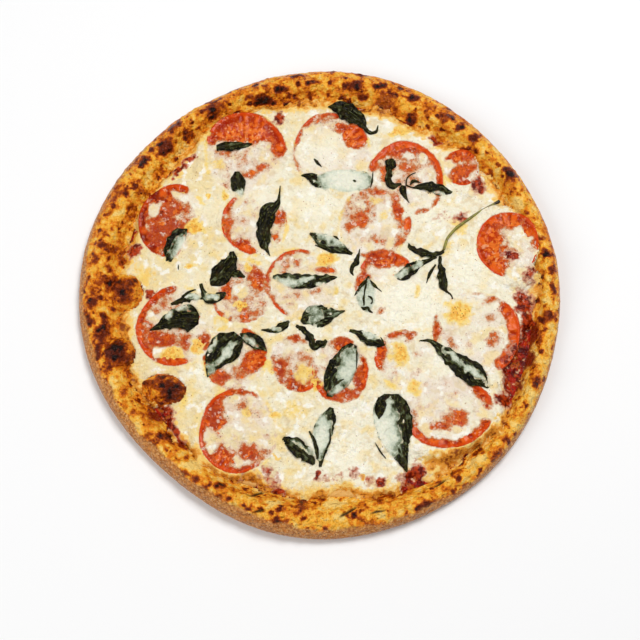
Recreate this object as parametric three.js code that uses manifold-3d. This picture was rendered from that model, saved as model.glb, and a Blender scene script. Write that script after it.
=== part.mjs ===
// A baked margherita pizza, about 12 inches across, in millimetres with +Z up.
// The origin is the middle of the flat underside.
//
// From the bottom up it is a dough base with a raised, blistered rim, a thin layer
// of tomato sauce, a layer of melted mozzarella, round slices of tomato that have
// sunk into the cheese, wilted basil leaves and one thin basil stalk.

import * as THREE from 'three';
import { mergeVertices } from 'three/addons/utils/BufferGeometryUtils.js';
import Module from 'manifold-3d';

const wasm = await Module();
wasm.setup();

// ---------------------------------------------------------------- driving sizes

const GAP = 0.3; // clear space between two pieces that lie against each other

const MEAN_RADIUS = 150.9;
const OUTLINE_CENTRE = [1.2, 0.6]; // puts the middle of the uneven outline on the origin
// The outline isn't a true circle: [lobes round the edge, height in mm, turn in degrees].
const OUTLINE_WAVES = [
  [2, 1.23, -133],
  [3, 1.46, 161],
  [4, 1.11, -14],
  [6, 0.5, 101],
  [7, 0.25, 44],
];

const BASE_TOP = 4.2; // upper face of the dough under the sauce
const UNDER_EDGE = 7; // how far the flat underside stays inside the outline
// Width of the raised rim every 30 degrees, from +X counter-clockwise.
const RIM_WIDTHS = [19, 20, 27, 26, 21, 28, 31, 24, 22, 28, 19, 17];
const RIM_CREST = 0.45; // where the rim is highest, as a share of its width
const RIM_HEIGHT = 15;
// The rim rises and falls along its length: [waves round the edge, mm, turn in degrees].
const RIM_WAVES = [
  [3, 0.9, 40],
  [5, 0.8, 190],
  [9, 0.7, 75],
  [14, 0.5, 10],
];
const RIM_BELLY = 4.8; // height of the widest line of the rim
const BELLY_TILT = 1.2; // that line is lower by this much on the side below
const BELLY_LOW_SIDE = 225; // degrees

// Swells in the rim: [x, y, radius, height].
const BUBBLES = [
  [-136, 27, 7, 1.6],
  [-58, -122, 8, 1.8],
  [-14, -133, 8, 1.6],
  [63, -135, 9, 1.8],
  [106, -103, 9, 2.2],
  [131, -52, 8, 1.2],
  [142, 12, 8, 1.4],
  [121, 76, 9, 2.2],
  [84, 112, 8, 1.6],
  [41, 125, 10, 2.2],
  [-8, 139, 8, 1.8],
  [-38, 133, 9, 1.8],
  [-92, 104, 9, 2.0],
  [-112, 82, 8, 1.6],
];

// Big blown bubbles: [x, y, half length, half width, turn in degrees, height of the top].
const DOMES = [
  [-124, -41, 12.5, 12, 60, 17.2],
  [-95, -63, 16.5, 11.5, -8, 14.5],
  [-122, -1, 14, 14, 80, 15.6],
];
const DOME_FLOOR = 2; // a bubble starts inside the dough, clear of the underside

const SAUCE_THICKNESS = 1.4;
const SAUCE_REACH = 2.2; // how far the sauce runs up the foot of the rim

const CHEESE_THICKNESS = 3.4;
const CHEESE_REACH = 4.2; // how far the cheese runs up the foot of the rim
// Where the cheese falls short and the sauce shows: [degrees, half width, depth in mm].
const CHEESE_BAYS = [
  [-22, 15, 11],
  [-66, 5, 8],
  [-84, 9, 4],
  [-110, 5, 5],
  [-140, 6, 7],
  [40, 5, 5],
];

const SLICE_THICKNESS = 3.2;
const SLICE_FLOOR = 0.9; // cheese left under a slice
const SLICE_SKIN = 1.2; // width of the raised ring of skin
const SLICE_DISH = 0.5; // how far the flesh has shrunk below the skin
const LEVEL_RADIUS = 124; // a slice that reaches past this leans on the rim
const LEAN_RATE = 0.5; // degrees of lean for each mm past it

// Tomato slices: [x, y, radius along x, radius along y]. Where two meet, the first lies on top.
const SLICES = [
  [-48, 93, 26.5, 27.8],
  [8, 95, 25.2, 26.5],
  [55, 75, 25.0, 26.1],
  [91, 83, 11.6, 12.1],
  [119, 30, 19.6, 21.4],
  [97, -28, 27.2, 27.4],
  [78, -77, 27.4, 23.1],
  [-49, -89, 23.9, 25.9],
  [-89, -23, 24.2, 25.6],
  [-93, 46, 21.6, 24.9],
  [-41, 46, 21.0, 21.6],
  [-11, 5, 22.6, 22.9],
  [-48, 0, 20.6, 20.9],
  [35, 45, 22.9, 23.6],
  [42, 5, 20.0, 21.0],
  [13, -51, 17.2, 20.8],
  [-13, -46, 17.2, 18.4],
  [53, -44, 18.5, 19.0],
  [-52, -43, 19.7, 20.3],
];

const LEAF_THICKNESS = 0.6;
const LEAF_CLEAR = 0.45; // a leaf's lowest face above what it lies on
// Basil leaves: [stalk x, stalk y, tip x, tip y, width].
const LEAVES = [
  [-66, 97, -42, 97, 6.3],
  [37, 107, 7, 126, 13.8],
  [45, 69, 49, 88, 5],
  [57.5, 72, 85, 67, 7.5],
  [55.5, 69, 57, 58, 3.8],
  [4, 68, -12, 80, 7.5],
  [8, 76, 34, 75, 13],
  [-5, 35, 21, 24, 8.8],
  [-52, 80, -47, 61, 8.2],
  [-25, 66, -34, 24, 8.8],
  [-69, 7, -51, 26, 13],
  [-77, 4, -60, -5, 7.5],
  [-103, -26, -75, -8, 13.5],
  [76, 24.5, 56, 32, 3.8],
  [75, 22, 47, 10, 8.8],
  [71, 14.5, 67, 4, 2.5],
  [77.5, 20.5, 83, -5, 6.3],
  [-97, 22, -82, 40, 15.7],
  [-29, 9, 10, 7, 9.4],
  [-67, -56, -46, -33, 18],
  [-46, -31, -32, -40, 7.5],
  [29, 8, 30, -13, 13.5],
  [63, -32, 104, -61, 12.6],
  [26, 27, 22, 13, 3.8],
  [20, -35, 4, -68, 15.1],
  [19, -25, 40, -34, 6.3],
  [-36, -26, -19, -19, 4.4],
  [-8, -20, 15, -14, 11],
  [-14, -24, 2, -36, 5.7],
  [-22, -93, -2, -109, 10.1],
  [8, -76, 1, -108, 14],
  [44, -64, 51, -114, 21],
];

const STALK_RADIUS = 0.95;
// The basil stalk bends from its cut end down to where its leaves begin: [x, y].
const STALK_BENDS = [
  [115, 60],
  [101, 52],
  [87, 42],
  [81, 35],
  [78.5, 27],
];

const EDGE_STEPS = 96; // steps round the rim
const LAYER_STEPS = 64;
const SLICE_STEPS = 16;
const DOME_STEPS = 16;

// ---------------------------------------------------------------- curves and waves

const radians = (degrees) => THREE.MathUtils.degToRad(degrees);
const TURN = Math.PI * 2;

function waves(list, angle) {
  return list.reduce((sum, [count, size, turn]) => sum + size * Math.cos(count * angle - radians(turn)), 0);
}

function outlineRadius(angle) {
  return MEAN_RADIUS + waves(OUTLINE_WAVES, angle);
}

function rimWidth(angle) {
  const place = ((angle / TURN) * RIM_WIDTHS.length + RIM_WIDTHS.length) % RIM_WIDTHS.length;
  const before = Math.floor(place);
  const blend = (1 - Math.cos((place - before) * Math.PI)) / 2;
  const next = RIM_WIDTHS[(before + 1) % RIM_WIDTHS.length];
  return THREE.MathUtils.lerp(RIM_WIDTHS[before], next, blend);
}

function footRadius(angle) {
  return outlineRadius(angle) - rimWidth(angle);
}

// A smooth hill that is 1 at its middle and 0 from its edge on.
function hill(distance, radius) {
  const share = Math.min(Math.abs(distance) / radius, 1);
  return (1 + Math.cos(share * Math.PI)) / 2;
}

function bubbleHeight(x, y) {
  return BUBBLES.reduce((sum, [bx, by, radius, height]) => {
    return sum + height * Math.sqrt(hill(Math.hypot(x - bx, y - by), radius));
  }, 0);
}

// Slow swells of the melted cheese.
function cheeseSwell(x, y) {
  return 0.35 * Math.sin(x / 15 + 1.3) * Math.sin(y / 17 + 0.4) + 0.25 * Math.sin((x + y) / 11 + 2);
}

function pointAt(angle, radius, z) {
  const [cx, cy] = OUTLINE_CENTRE;
  return [cx + radius * Math.cos(angle), cy + radius * Math.sin(angle), z];
}

// ---------------------------------------------------------------- solids

// A closed solid skinned over rings of points, which run outward below and inward above.
function ringSolid(rings, bottomPoint, topPoint) {
  const steps = rings[0].length;
  const points = [bottomPoint, ...rings.flat(), topPoint];
  const index = [];
  const at = (ring, step) => 1 + ring * steps + (step % steps);
  const top = points.length - 1;
  for (let step = 0; step < steps; step += 1) {
    index.push(0, at(0, step + 1), at(0, step));
    for (let ring = 0; ring < rings.length - 1; ring += 1) {
      const corners = [at(ring, step), at(ring, step + 1), at(ring + 1, step + 1), at(ring + 1, step)];
      index.push(corners[0], corners[1], corners[2], corners[0], corners[2], corners[3]);
    }
    index.push(at(rings.length - 1, step), at(rings.length - 1, step + 1), top);
  }
  const geometry = new THREE.BufferGeometry();
  geometry.setAttribute('position', new THREE.Float32BufferAttribute(points.flat(), 3));
  geometry.setIndex(index);
  return geometry;
}

function ringOf(steps, place) {
  return Array.from({ length: steps }, (_, step) => place((step / steps) * TURN));
}

function toSolid(geometry) {
  const bare = new THREE.BufferGeometry();
  bare.setAttribute('position', geometry.getAttribute('position').clone());
  if (geometry.index) bare.setIndex(geometry.index.clone());
  const merged = mergeVertices(bare, 1e-4);
  return new wasm.Manifold(new wasm.Mesh({
    numProp: 3,
    vertProperties: new Float32Array(merged.getAttribute('position').array),
    triVerts: new Uint32Array(merged.index.array),
  }));
}

function toGeometry(solid) {
  const mesh = solid.getMesh();
  const geometry = new THREE.BufferGeometry();
  geometry.setAttribute('position', new THREE.Float32BufferAttribute(mesh.vertProperties, 3));
  geometry.setIndex(Array.from(mesh.triVerts));
  return geometry;
}

function largestPart(solid) {
  return solid.decompose().sort((a, b) => b.volume() - a.volume())[0];
}

function lifted(geometry, height) {
  return geometry.clone().translate(0, 0, height);
}

// ---------------------------------------------------------------- dough

const BELLY_STEPS = 2;
const SHOULDER_STEPS = 5;
const SLOPE_STEPS = 4;
const DOME_LEVELS = [0, 15, 30, 45, 60, 75].map(radians); // latitudes of a bubble's rings

function crustGeometry() {
  const section = (angle) => {
    const outer = outlineRadius(angle);
    const foot = footRadius(angle);
    const crest = outer - rimWidth(angle) * RIM_CREST;
    const height = RIM_HEIGHT + waves(RIM_WAVES, angle);
    const belly = RIM_BELLY - BELLY_TILT * Math.cos(angle - radians(BELLY_LOW_SIDE));
    const places = [];
    for (let step = 0; step <= BELLY_STEPS; step += 1) {
      const turn = ((step / BELLY_STEPS) * Math.PI) / 2;
      places.push([outer - UNDER_EDGE * (1 - Math.sin(turn)), belly * (1 - Math.cos(turn)), 0]);
    }
    for (let step = 1; step <= SHOULDER_STEPS; step += 1) {
      const turn = ((step / SHOULDER_STEPS) * Math.PI) / 2;
      const radius = crest + (outer - crest) * Math.cos(turn);
      places.push([radius, belly + (height - belly) * Math.sin(turn), Math.sin(turn)]);
    }
    for (let step = 1; step <= SLOPE_STEPS; step += 1) {
      const share = step / SLOPE_STEPS;
      const drop = hill(share, 1);
      places.push([crest - (crest - foot) * share, BASE_TOP + (height - BASE_TOP) * drop, drop]);
    }
    return places.map(([radius, z, swell]) => {
      const point = pointAt(angle, radius, z);
      point[2] += swell * bubbleHeight(point[0], point[1]);
      return point;
    });
  };
  const sections = ringOf(EDGE_STEPS, section);
  const rings = sections[0].map((_, place) => sections.map((points) => points[place]));
  return ringSolid(rings, [0, 0, 0], [0, 0, BASE_TOP]);
}

function domeGeometry([x, y, halfLength, halfWidth, turn, top]) {
  const rings = DOME_LEVELS.map((level) => ringOf(DOME_STEPS, (angle) => [
    halfLength * Math.cos(level) * Math.cos(angle),
    halfWidth * Math.cos(level) * Math.sin(angle),
    (top - DOME_FLOOR) * Math.sin(level),
  ]));
  return ringSolid(rings, [0, 0, 0], [0, 0, top - DOME_FLOOR])
    .rotateZ(radians(turn))
    .translate(x, y, DOME_FLOOR);
}

// ---------------------------------------------------------------- layers

// A layer with an uneven edge. Its underside is cut later by what it lies on.
function layerGeometry(edge, shares, top) {
  const under = ringOf(LAYER_STEPS, (angle) => pointAt(angle, edge(angle), BASE_TOP / 2));
  const upper = shares.map((share) => ringOf(LAYER_STEPS, (angle) => {
    const [x, y] = pointAt(angle, edge(angle) * share, 0);
    return [x, y, top(x, y)];
  }));
  return ringSolid([under, ...upper], [0, 0, BASE_TOP / 2], [0, 0, top(0, 0)]);
}

const SAUCE_TOP = BASE_TOP + GAP + SAUCE_THICKNESS;
const SAUCE_WAVES = [
  [11, 0.5, 30],
  [17, 0.4, 80],
];

function sauceEdge(angle) {
  return footRadius(angle) + SAUCE_REACH + waves(SAUCE_WAVES, angle);
}

const CHEESE_TOP = SAUCE_TOP + GAP + CHEESE_THICKNESS;
const CHEESE_WAVES = [
  [8, 0.9, 30],
  [13, 0.8, 200],
  [21, 0.6, 80],
];
const CHEESE_EDGE_DROP = 0.9; // the cheese thins at its edge
const CHEESE_SHARES = [1, 0.95, 0.83, 0.69, 0.54, 0.38, 0.2];

function cheeseEdge(angle) {
  const bays = CHEESE_BAYS.reduce((sum, [middle, halfWidth, depth]) => {
    const apart = THREE.MathUtils.euclideanModulo(angle - radians(middle) + Math.PI, TURN) - Math.PI;
    return sum + depth * hill(apart, radians(halfWidth));
  }, 0);
  return footRadius(angle) + CHEESE_REACH + waves(CHEESE_WAVES, angle) - bays;
}

function cheeseTop(x, y) {
  const [cx, cy] = OUTLINE_CENTRE;
  const inside = cheeseEdge(Math.atan2(y - cy, x - cx)) - Math.hypot(x - cx, y - cy);
  const thin = CHEESE_EDGE_DROP * hill(inside, 6);
  return CHEESE_TOP + cheeseSwell(x, y) - thin;
}

// ---------------------------------------------------------------- tomato slices

const SLICE_BOTTOM = SAUCE_TOP + GAP + SLICE_FLOOR + GAP;
const POCKET_HEIGHT = 20; // a pocket opens upward past the rim

// How a slice lies: level inside, leaning outward where it reaches the rim.
function slicePose([x, y, radiusX, radiusY]) {
  const reach = Math.hypot(x, y) + (radiusX + radiusY) / 2;
  const lean = radians(Math.max(0, reach - LEVEL_RADIUS) * LEAN_RATE);
  const axis = new THREE.Vector3(y, -x, 0).normalize();
  const turn = new THREE.Quaternion().setFromAxisAngle(axis, -lean);
  const height = SLICE_BOTTOM + ((radiusX + radiusY) / 2) * Math.sin(lean);
  return new THREE.Matrix4().compose(new THREE.Vector3(x, y, height), turn, new THREE.Vector3(1, 1, 1));
}

// Rings of a slice: how far in from its edge, and how high.
const SLICE_RINGS = [
  [0.2, 0],
  [0, SLICE_THICKNESS - 0.5],
  [SLICE_SKIN * 0.5, SLICE_THICKNESS],
  [SLICE_SKIN * 3, SLICE_THICKNESS - SLICE_DISH],
];
const POCKET_RINGS = [
  [-GAP, -GAP],
  [-GAP, POCKET_HEIGHT],
];

function discGeometry(slice, seed, levels) {
  const [, , radiusX, radiusY] = slice;
  const wobble = (angle) => 1 + 0.02 * Math.cos(3 * angle + seed) + 0.012 * Math.cos(5 * angle + 2 * seed);
  const rings = levels.map(([inset, z]) => ringOf(SLICE_STEPS, (angle) => [
    (radiusX * wobble(angle) - inset) * Math.cos(angle),
    (radiusY * wobble(angle) - inset) * Math.sin(angle),
    z,
  ]));
  const bottom = [0, 0, levels[0][1]];
  const top = [0, 0, levels[levels.length - 1][1]];
  return ringSolid(rings, bottom, top).applyMatrix4(slicePose(slice));
}

// Height of the top of the slices at a place, or nothing where there is none.
function sliceTop(x, y) {
  const tops = SLICES.map((slice) => {
    const local = new THREE.Vector3(x, y, 0).applyMatrix4(slicePose(slice).invert());
    if (Math.hypot(local.x / (slice[2] + 1), local.y / (slice[3] + 1)) > 1) return -Infinity;
    const up = new THREE.Vector3(0, 0, 1).transformDirection(slicePose(slice));
    return (SLICE_THICKNESS - local.z) / up.z;
  });
  return Math.max(...tops);
}

// ---------------------------------------------------------------- basil

const REST_SPREAD = 3; // a leaf bridges dips narrower than this round each of its points

// Height of whatever a leaf lies on, over a small patch.
function restHeight(x, y) {
  const around = [[0, 0]];
  for (let step = 0; step < 8; step += 1) {
    const angle = (step / 8) * TURN;
    around.push([REST_SPREAD * Math.cos(angle), REST_SPREAD * Math.sin(angle)]);
  }
  return Math.max(...around.map(([dx, dy]) => Math.max(cheeseTop(x + dx, y + dy), sliceTop(x + dx, y + dy))));
}

const LEAF_LENGTH_STEPS = 6;
const LEAF_CURL = 0.9; // the sides stand higher than the midrib
const LEAF_RIPPLE = 0.4;
const LEAF_BEND = 0.05; // sideways bow, as a share of the length

// A thin wavy leaf, pointed at both ends. Both faces are split into triangles alike.
function leafGeometry([x0, y0, x1, y1, width], seed) {
  const along = new THREE.Vector2(x1 - x0, y1 - y0);
  const length = along.length();
  along.normalize();
  const across = new THREE.Vector2(-along.y, along.x);
  const bow = length * LEAF_BEND * Math.cos(seed);
  const place = (share, side) => {
    const half = (width / 2) * Math.sin(Math.PI * share ** 0.85);
    const off = side * half + bow * Math.sin(Math.PI * share);
    const x = x0 + along.x * length * share + across.x * off;
    const y = y0 + along.y * length * share + across.y * off;
    const curl = LEAF_CURL * Math.abs(side) * Math.sin(Math.PI * share);
    const ripple = LEAF_RIPPLE * Math.abs(side) * (1 + Math.sin(share * 9 + side + seed));
    return [x, y, restHeight(x, y) + LEAF_CLEAR + curl + ripple];
  };
  const rows = [[place(0, 0)]];
  for (let step = 1; step < LEAF_LENGTH_STEPS; step += 1) {
    rows.push([-1, 0, 1].map((side) => place(step / LEAF_LENGTH_STEPS, side)));
  }
  rows.push([place(1, 0)]);
  const lower = rows.flat();
  const points = [...lower, ...lower.map(([x, y, z]) => [x, y, z + LEAF_THICKNESS])];
  const start = (row) => rows.slice(0, row).reduce((sum, r) => sum + r.length, 0);
  const faces = [];
  for (let row = 0; row < rows.length - 1; row += 1) {
    const here = start(row);
    const next = start(row + 1);
    if (rows[row].length === 1) {
      faces.push([here, next + 1, next], [here, next + 2, next + 1]);
    } else if (rows[row + 1].length === 1) {
      faces.push([here, here + 1, next], [here + 1, here + 2, next]);
    } else {
      for (let side = 0; side < 2; side += 1) {
        const corners = [here + side, here + side + 1, next + side + 1, next + side];
        faces.push([corners[0], corners[1], corners[2]], [corners[0], corners[2], corners[3]]);
      }
    }
  }
  const right = rows.map((row, r) => start(r));
  const left = rows.map((row, r) => start(r) + row.length - 1).reverse();
  const border = [...right, ...left.slice(1, -1)];
  const index = [];
  const lift = lower.length;
  faces.forEach(([a, b, c]) => {
    index.push(a, b, c);
    index.push(a + lift, c + lift, b + lift);
  });
  border.forEach((a, step) => {
    const b = border[(step + 1) % border.length];
    index.push(a, b, b + lift, a, b + lift, a + lift);
  });
  const geometry = new THREE.BufferGeometry();
  geometry.setAttribute('position', new THREE.Float32BufferAttribute(points.flat(), 3));
  geometry.setIndex(index);
  return geometry;
}

const STALK_SIDES = 6;
const STALK_STEPS = 12;

function stalkGeometry() {
  const bends = STALK_BENDS.map(([x, y]) => {
    return new THREE.Vector3(x, y, restHeight(x, y) + GAP + STALK_RADIUS);
  });
  const section = new THREE.Shape(ringOf(STALK_SIDES, (angle) => {
    return new THREE.Vector2(STALK_RADIUS * Math.cos(angle), STALK_RADIUS * Math.sin(angle));
  }));
  const path = new THREE.CatmullRomCurve3(bends);
  return new THREE.ExtrudeGeometry(section, { steps: STALK_STEPS, bevelEnabled: false, extrudePath: path });
}

// ---------------------------------------------------------------- the pizza

const DOUGH = new THREE.MeshStandardMaterial({ color: 0xe0a24c, roughness: 0.75, metalness: 0 });
const SAUCE = new THREE.MeshStandardMaterial({ color: 0x8e1c10, roughness: 0.35, metalness: 0 });
const CHEESE = new THREE.MeshStandardMaterial({ color: 0xf6edd2, roughness: 0.45, metalness: 0 });
const TOMATO = new THREE.MeshStandardMaterial({ color: 0xd9482a, roughness: 0.35, metalness: 0 });
const BASIL = new THREE.MeshStandardMaterial({ color: 0x333a1c, roughness: 0.4, metalness: 0 });
const STALK = new THREE.MeshStandardMaterial({ color: 0x8b8c34, roughness: 0.5, metalness: 0 });

const pizza = new THREE.Group();

function addPiece(name, geometry, material) {
  const piece = new THREE.Mesh(geometry, material);
  piece.name = name;
  pizza.add(piece);
}

const pockets = SLICES.map((slice, number) => toSolid(discGeometry(slice, number, POCKET_RINGS)));

function withoutPockets(solid) {
  return pockets.reduce((rest, pocket) => rest.subtract(pocket), solid);
}

const dough = DOMES.reduce((whole, dome) => whole.add(toSolid(domeGeometry(dome))), toSolid(crustGeometry()));
const overDough = toSolid(lifted(toGeometry(dough), GAP));
const sauceLayer = layerGeometry(sauceEdge, [1, 0.9], () => SAUCE_TOP);
const cheeseLayer = layerGeometry(cheeseEdge, CHEESE_SHARES, cheeseTop);
const crust = withoutPockets(dough);
const sauce = withoutPockets(toSolid(sauceLayer).subtract(overDough));
const overSauce = toSolid(lifted(sauceLayer, GAP));
const cheese = withoutPockets(toSolid(cheeseLayer).subtract(overDough).subtract(overSauce));

addPiece('crust', toGeometry(largestPart(crust)), DOUGH);
addPiece('sauce', toGeometry(largestPart(sauce)), SAUCE);
addPiece('cheese', toGeometry(largestPart(cheese)), CHEESE);

const twoDigits = (number) => String(number + 1).padStart(2, '0');

SLICES.forEach((slice, number) => {
  const whole = toSolid(discGeometry(slice, number, SLICE_RINGS));
  const cut = pockets.slice(0, number).reduce((rest, pocket) => rest.subtract(pocket), whole);
  addPiece(`tomato_slice_${twoDigits(number)}`, toGeometry(largestPart(cut)), TOMATO);
});

LEAVES.forEach((leaf, number) => {
  addPiece(`basil_leaf_${twoDigits(number)}`, leafGeometry(leaf, number), BASIL);
});

addPiece('basil_stalk', toGeometry(toSolid(stalkGeometry())), STALK);

export default pizza;
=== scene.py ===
"""A baked margherita pizza, seen from above.

Sizes are in millimetres until a mesh is made, then in metres. Places taken from the photo are in its pixels.
"""

import math

import bpy
import numpy as np
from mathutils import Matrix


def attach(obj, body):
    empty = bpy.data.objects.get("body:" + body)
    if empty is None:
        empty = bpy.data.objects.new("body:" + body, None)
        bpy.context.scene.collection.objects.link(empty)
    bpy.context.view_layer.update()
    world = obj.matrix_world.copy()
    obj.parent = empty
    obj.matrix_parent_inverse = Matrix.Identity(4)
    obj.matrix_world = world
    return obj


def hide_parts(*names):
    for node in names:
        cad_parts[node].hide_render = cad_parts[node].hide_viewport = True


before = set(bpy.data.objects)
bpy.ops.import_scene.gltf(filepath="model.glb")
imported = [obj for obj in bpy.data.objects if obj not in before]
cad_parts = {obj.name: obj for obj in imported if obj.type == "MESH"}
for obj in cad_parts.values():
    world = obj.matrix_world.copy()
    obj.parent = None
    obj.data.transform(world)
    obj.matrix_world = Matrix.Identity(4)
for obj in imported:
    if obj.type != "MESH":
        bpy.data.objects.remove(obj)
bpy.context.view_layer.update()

MM = 0.001
TURN = 2 * math.pi
NOWHERE = -50.0  # the level of a layer where it isn't

# ---- camera and the photo's frame

PHOTO_WIDTH = 640  # pixels, and as many high
ELEVATION = math.radians(73.8)
LENS = 70.0
SENSOR = 36.0
PIXEL = 0.629  # one photo pixel at the middle of the pizza
FOCAL_PIXELS = LENS / SENSOR * PHOTO_WIDTH
DISTANCE = FOCAL_PIXELS * PIXEL
TARGET = (0.5, -15.9, 0.0)  # what the middle of the photo looks at
LOOK = np.array((0.0, math.cos(ELEVATION), -math.sin(ELEVATION)))
UP = np.array((0.0, math.sin(ELEVATION), math.cos(ELEVATION)))
EYE = np.array(TARGET) - LOOK * DISTANCE
TOPPING_LEVEL = 10.0  # the height at which places on the toppings are read from the photo
CRUST_LEVEL = 14.0  # and places on the rim


def from_photo(u, v, level=TOPPING_LEVEL):
    """The x and y of a photo pixel, for what lies at that level."""
    ray = LOOK * FOCAL_PIXELS + np.array((u - PHOTO_WIDTH / 2, 0.0, 0.0)) - UP * (v - PHOTO_WIDTH / 2)
    place = EYE + ray * ((level - EYE[2]) / ray[2])
    return place[0], place[1]


# ---- driving sizes, as in the solids

MEAN_RADIUS = 150.9
OUTLINE_CENTRE = (1.2, 0.6)
# Waves round the pizza: how many there are, how high they are and where they start, in degrees.
OUTLINE_WAVES = ((2, 1.23, -133), (3, 1.46, 161), (4, 1.11, -14), (6, 0.5, 101), (7, 0.25, 44))
RIM_WAVES = ((3, 0.9, 40), (5, 0.8, 190), (9, 0.7, 75), (14, 0.5, 10))
SAUCE_WAVES = ((11, 0.5, 30), (17, 0.4, 80))
CHEESE_WAVES = ((8, 0.9, 30), (13, 0.8, 200), (21, 0.6, 80))
BASE_TOP = 4.2
UNDER_EDGE = 7.0  # how far in from its widest line the dough meets the table
RIM_WIDTHS = (19, 20, 27, 26, 21, 28, 31, 24, 22, 28, 19, 17)
RIM_CREST = 0.45  # where the rim is highest, as a share of its width from outside
RIM_HEIGHT = 15.0
RIM_BELLY = 4.8  # height of the rim's widest line
BELLY_TILT = 1.2
BELLY_LOW_SIDE = math.radians(225)
CORNER_WIDTH = 2.0  # over which a blown bubble blends into the rim
# Small bubbles on the rim: x, y, radius, height.
BUBBLES = (
    (-136, 27, 7, 1.6), (-58, -122, 8, 1.8), (-14, -133, 8, 1.6), (63, -135, 9, 1.8), (106, -103, 9, 2.2),
    (131, -52, 8, 1.2), (142, 12, 8, 1.4), (121, 76, 9, 2.2), (84, 112, 8, 1.6), (41, 125, 10, 2.2),
    (-8, 139, 8, 1.8), (-38, 133, 9, 1.8), (-92, 104, 9, 2), (-112, 82, 8, 1.6),
)
# Big blown bubbles: x, y, half length, half width, turn, top.
DOMES = (
    (-124, -41, 12.5, 12, 60, 17.2), (-95, -63, 16.5, 11.5, -8, 14.5), (-122, -1, 14, 14, 80, 15.6),
)
DOME_FLOOR = 2.0
SAUCE_TOP = 5.9
SAUCE_REACH = 2.2  # how far the sauce and the cheese go up the foot of the rim
CHEESE_REACH = 4.2
CHEESE_TOP = 9.6
# Where the cheese draws back from the rim: middle and half width in degrees, and how far.
CHEESE_BAYS = ((-22, 15, 11), (-66, 5, 8), (-84, 9, 4), (-110, 5, 5), (-140, 6, 7), (40, 5, 5))
SLICE_THICKNESS = 3.2
SLICE_BOTTOM = 7.4
# Slices and leaves are counted from 1 in the lists of places below, and from 0 in the code and here.
DARK_SLICES = (7, 8, 9, 15, 16)
SINGED_SLICE = 9
LEVEL_RADIUS = 124  # a slice that reaches past it leans against the rim
LEAN_RATE = 0.5  # degrees for each mm past it
# Tomato slices: x, y, radius along x, radius along y. Where two meet, the first lies on top.
SLICES = (
    (-48, 93, 26.5, 27.8), (8, 95, 25.2, 26.5), (55, 75, 25, 26.1), (91, 83, 11.6, 12.1),
    (119, 30, 19.6, 21.4), (97, -28, 27.2, 27.4), (78, -77, 27.4, 23.1), (-49, -89, 23.9, 25.9),
    (-89, -23, 24.2, 25.6), (-93, 46, 21.6, 24.9), (-41, 46, 21, 21.6), (-11, 5, 22.6, 22.9),
    (-48, 0, 20.6, 20.9), (35, 45, 22.9, 23.6), (42, 5, 20, 21), (13, -51, 17.2, 20.8),
    (-13, -46, 17.2, 18.4), (53, -44, 18.5, 19), (-52, -43, 19.7, 20.3),
)
LEAF_THICKNESS = 0.6
PRESSED = 0.8  # how much flatter a leaf lies under a film of cheese
STALK_RADIUS = 0.95
STALK_BENDS = ((115, 60), (101, 52), (87, 42), (81, 35), (78.5, 27))

# ---- places read from the photo
#
# A leaf's blade is the number of the leaf and a row of places along its middle: u, v, half width. The blades
# after its first are its folds and stems. Strokes are ribs and margins that stand out of a film of cheese.
# A patch is u, v, half width, half height, strength (1 where it isn't given) and turn in degrees (or else 0).

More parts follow.
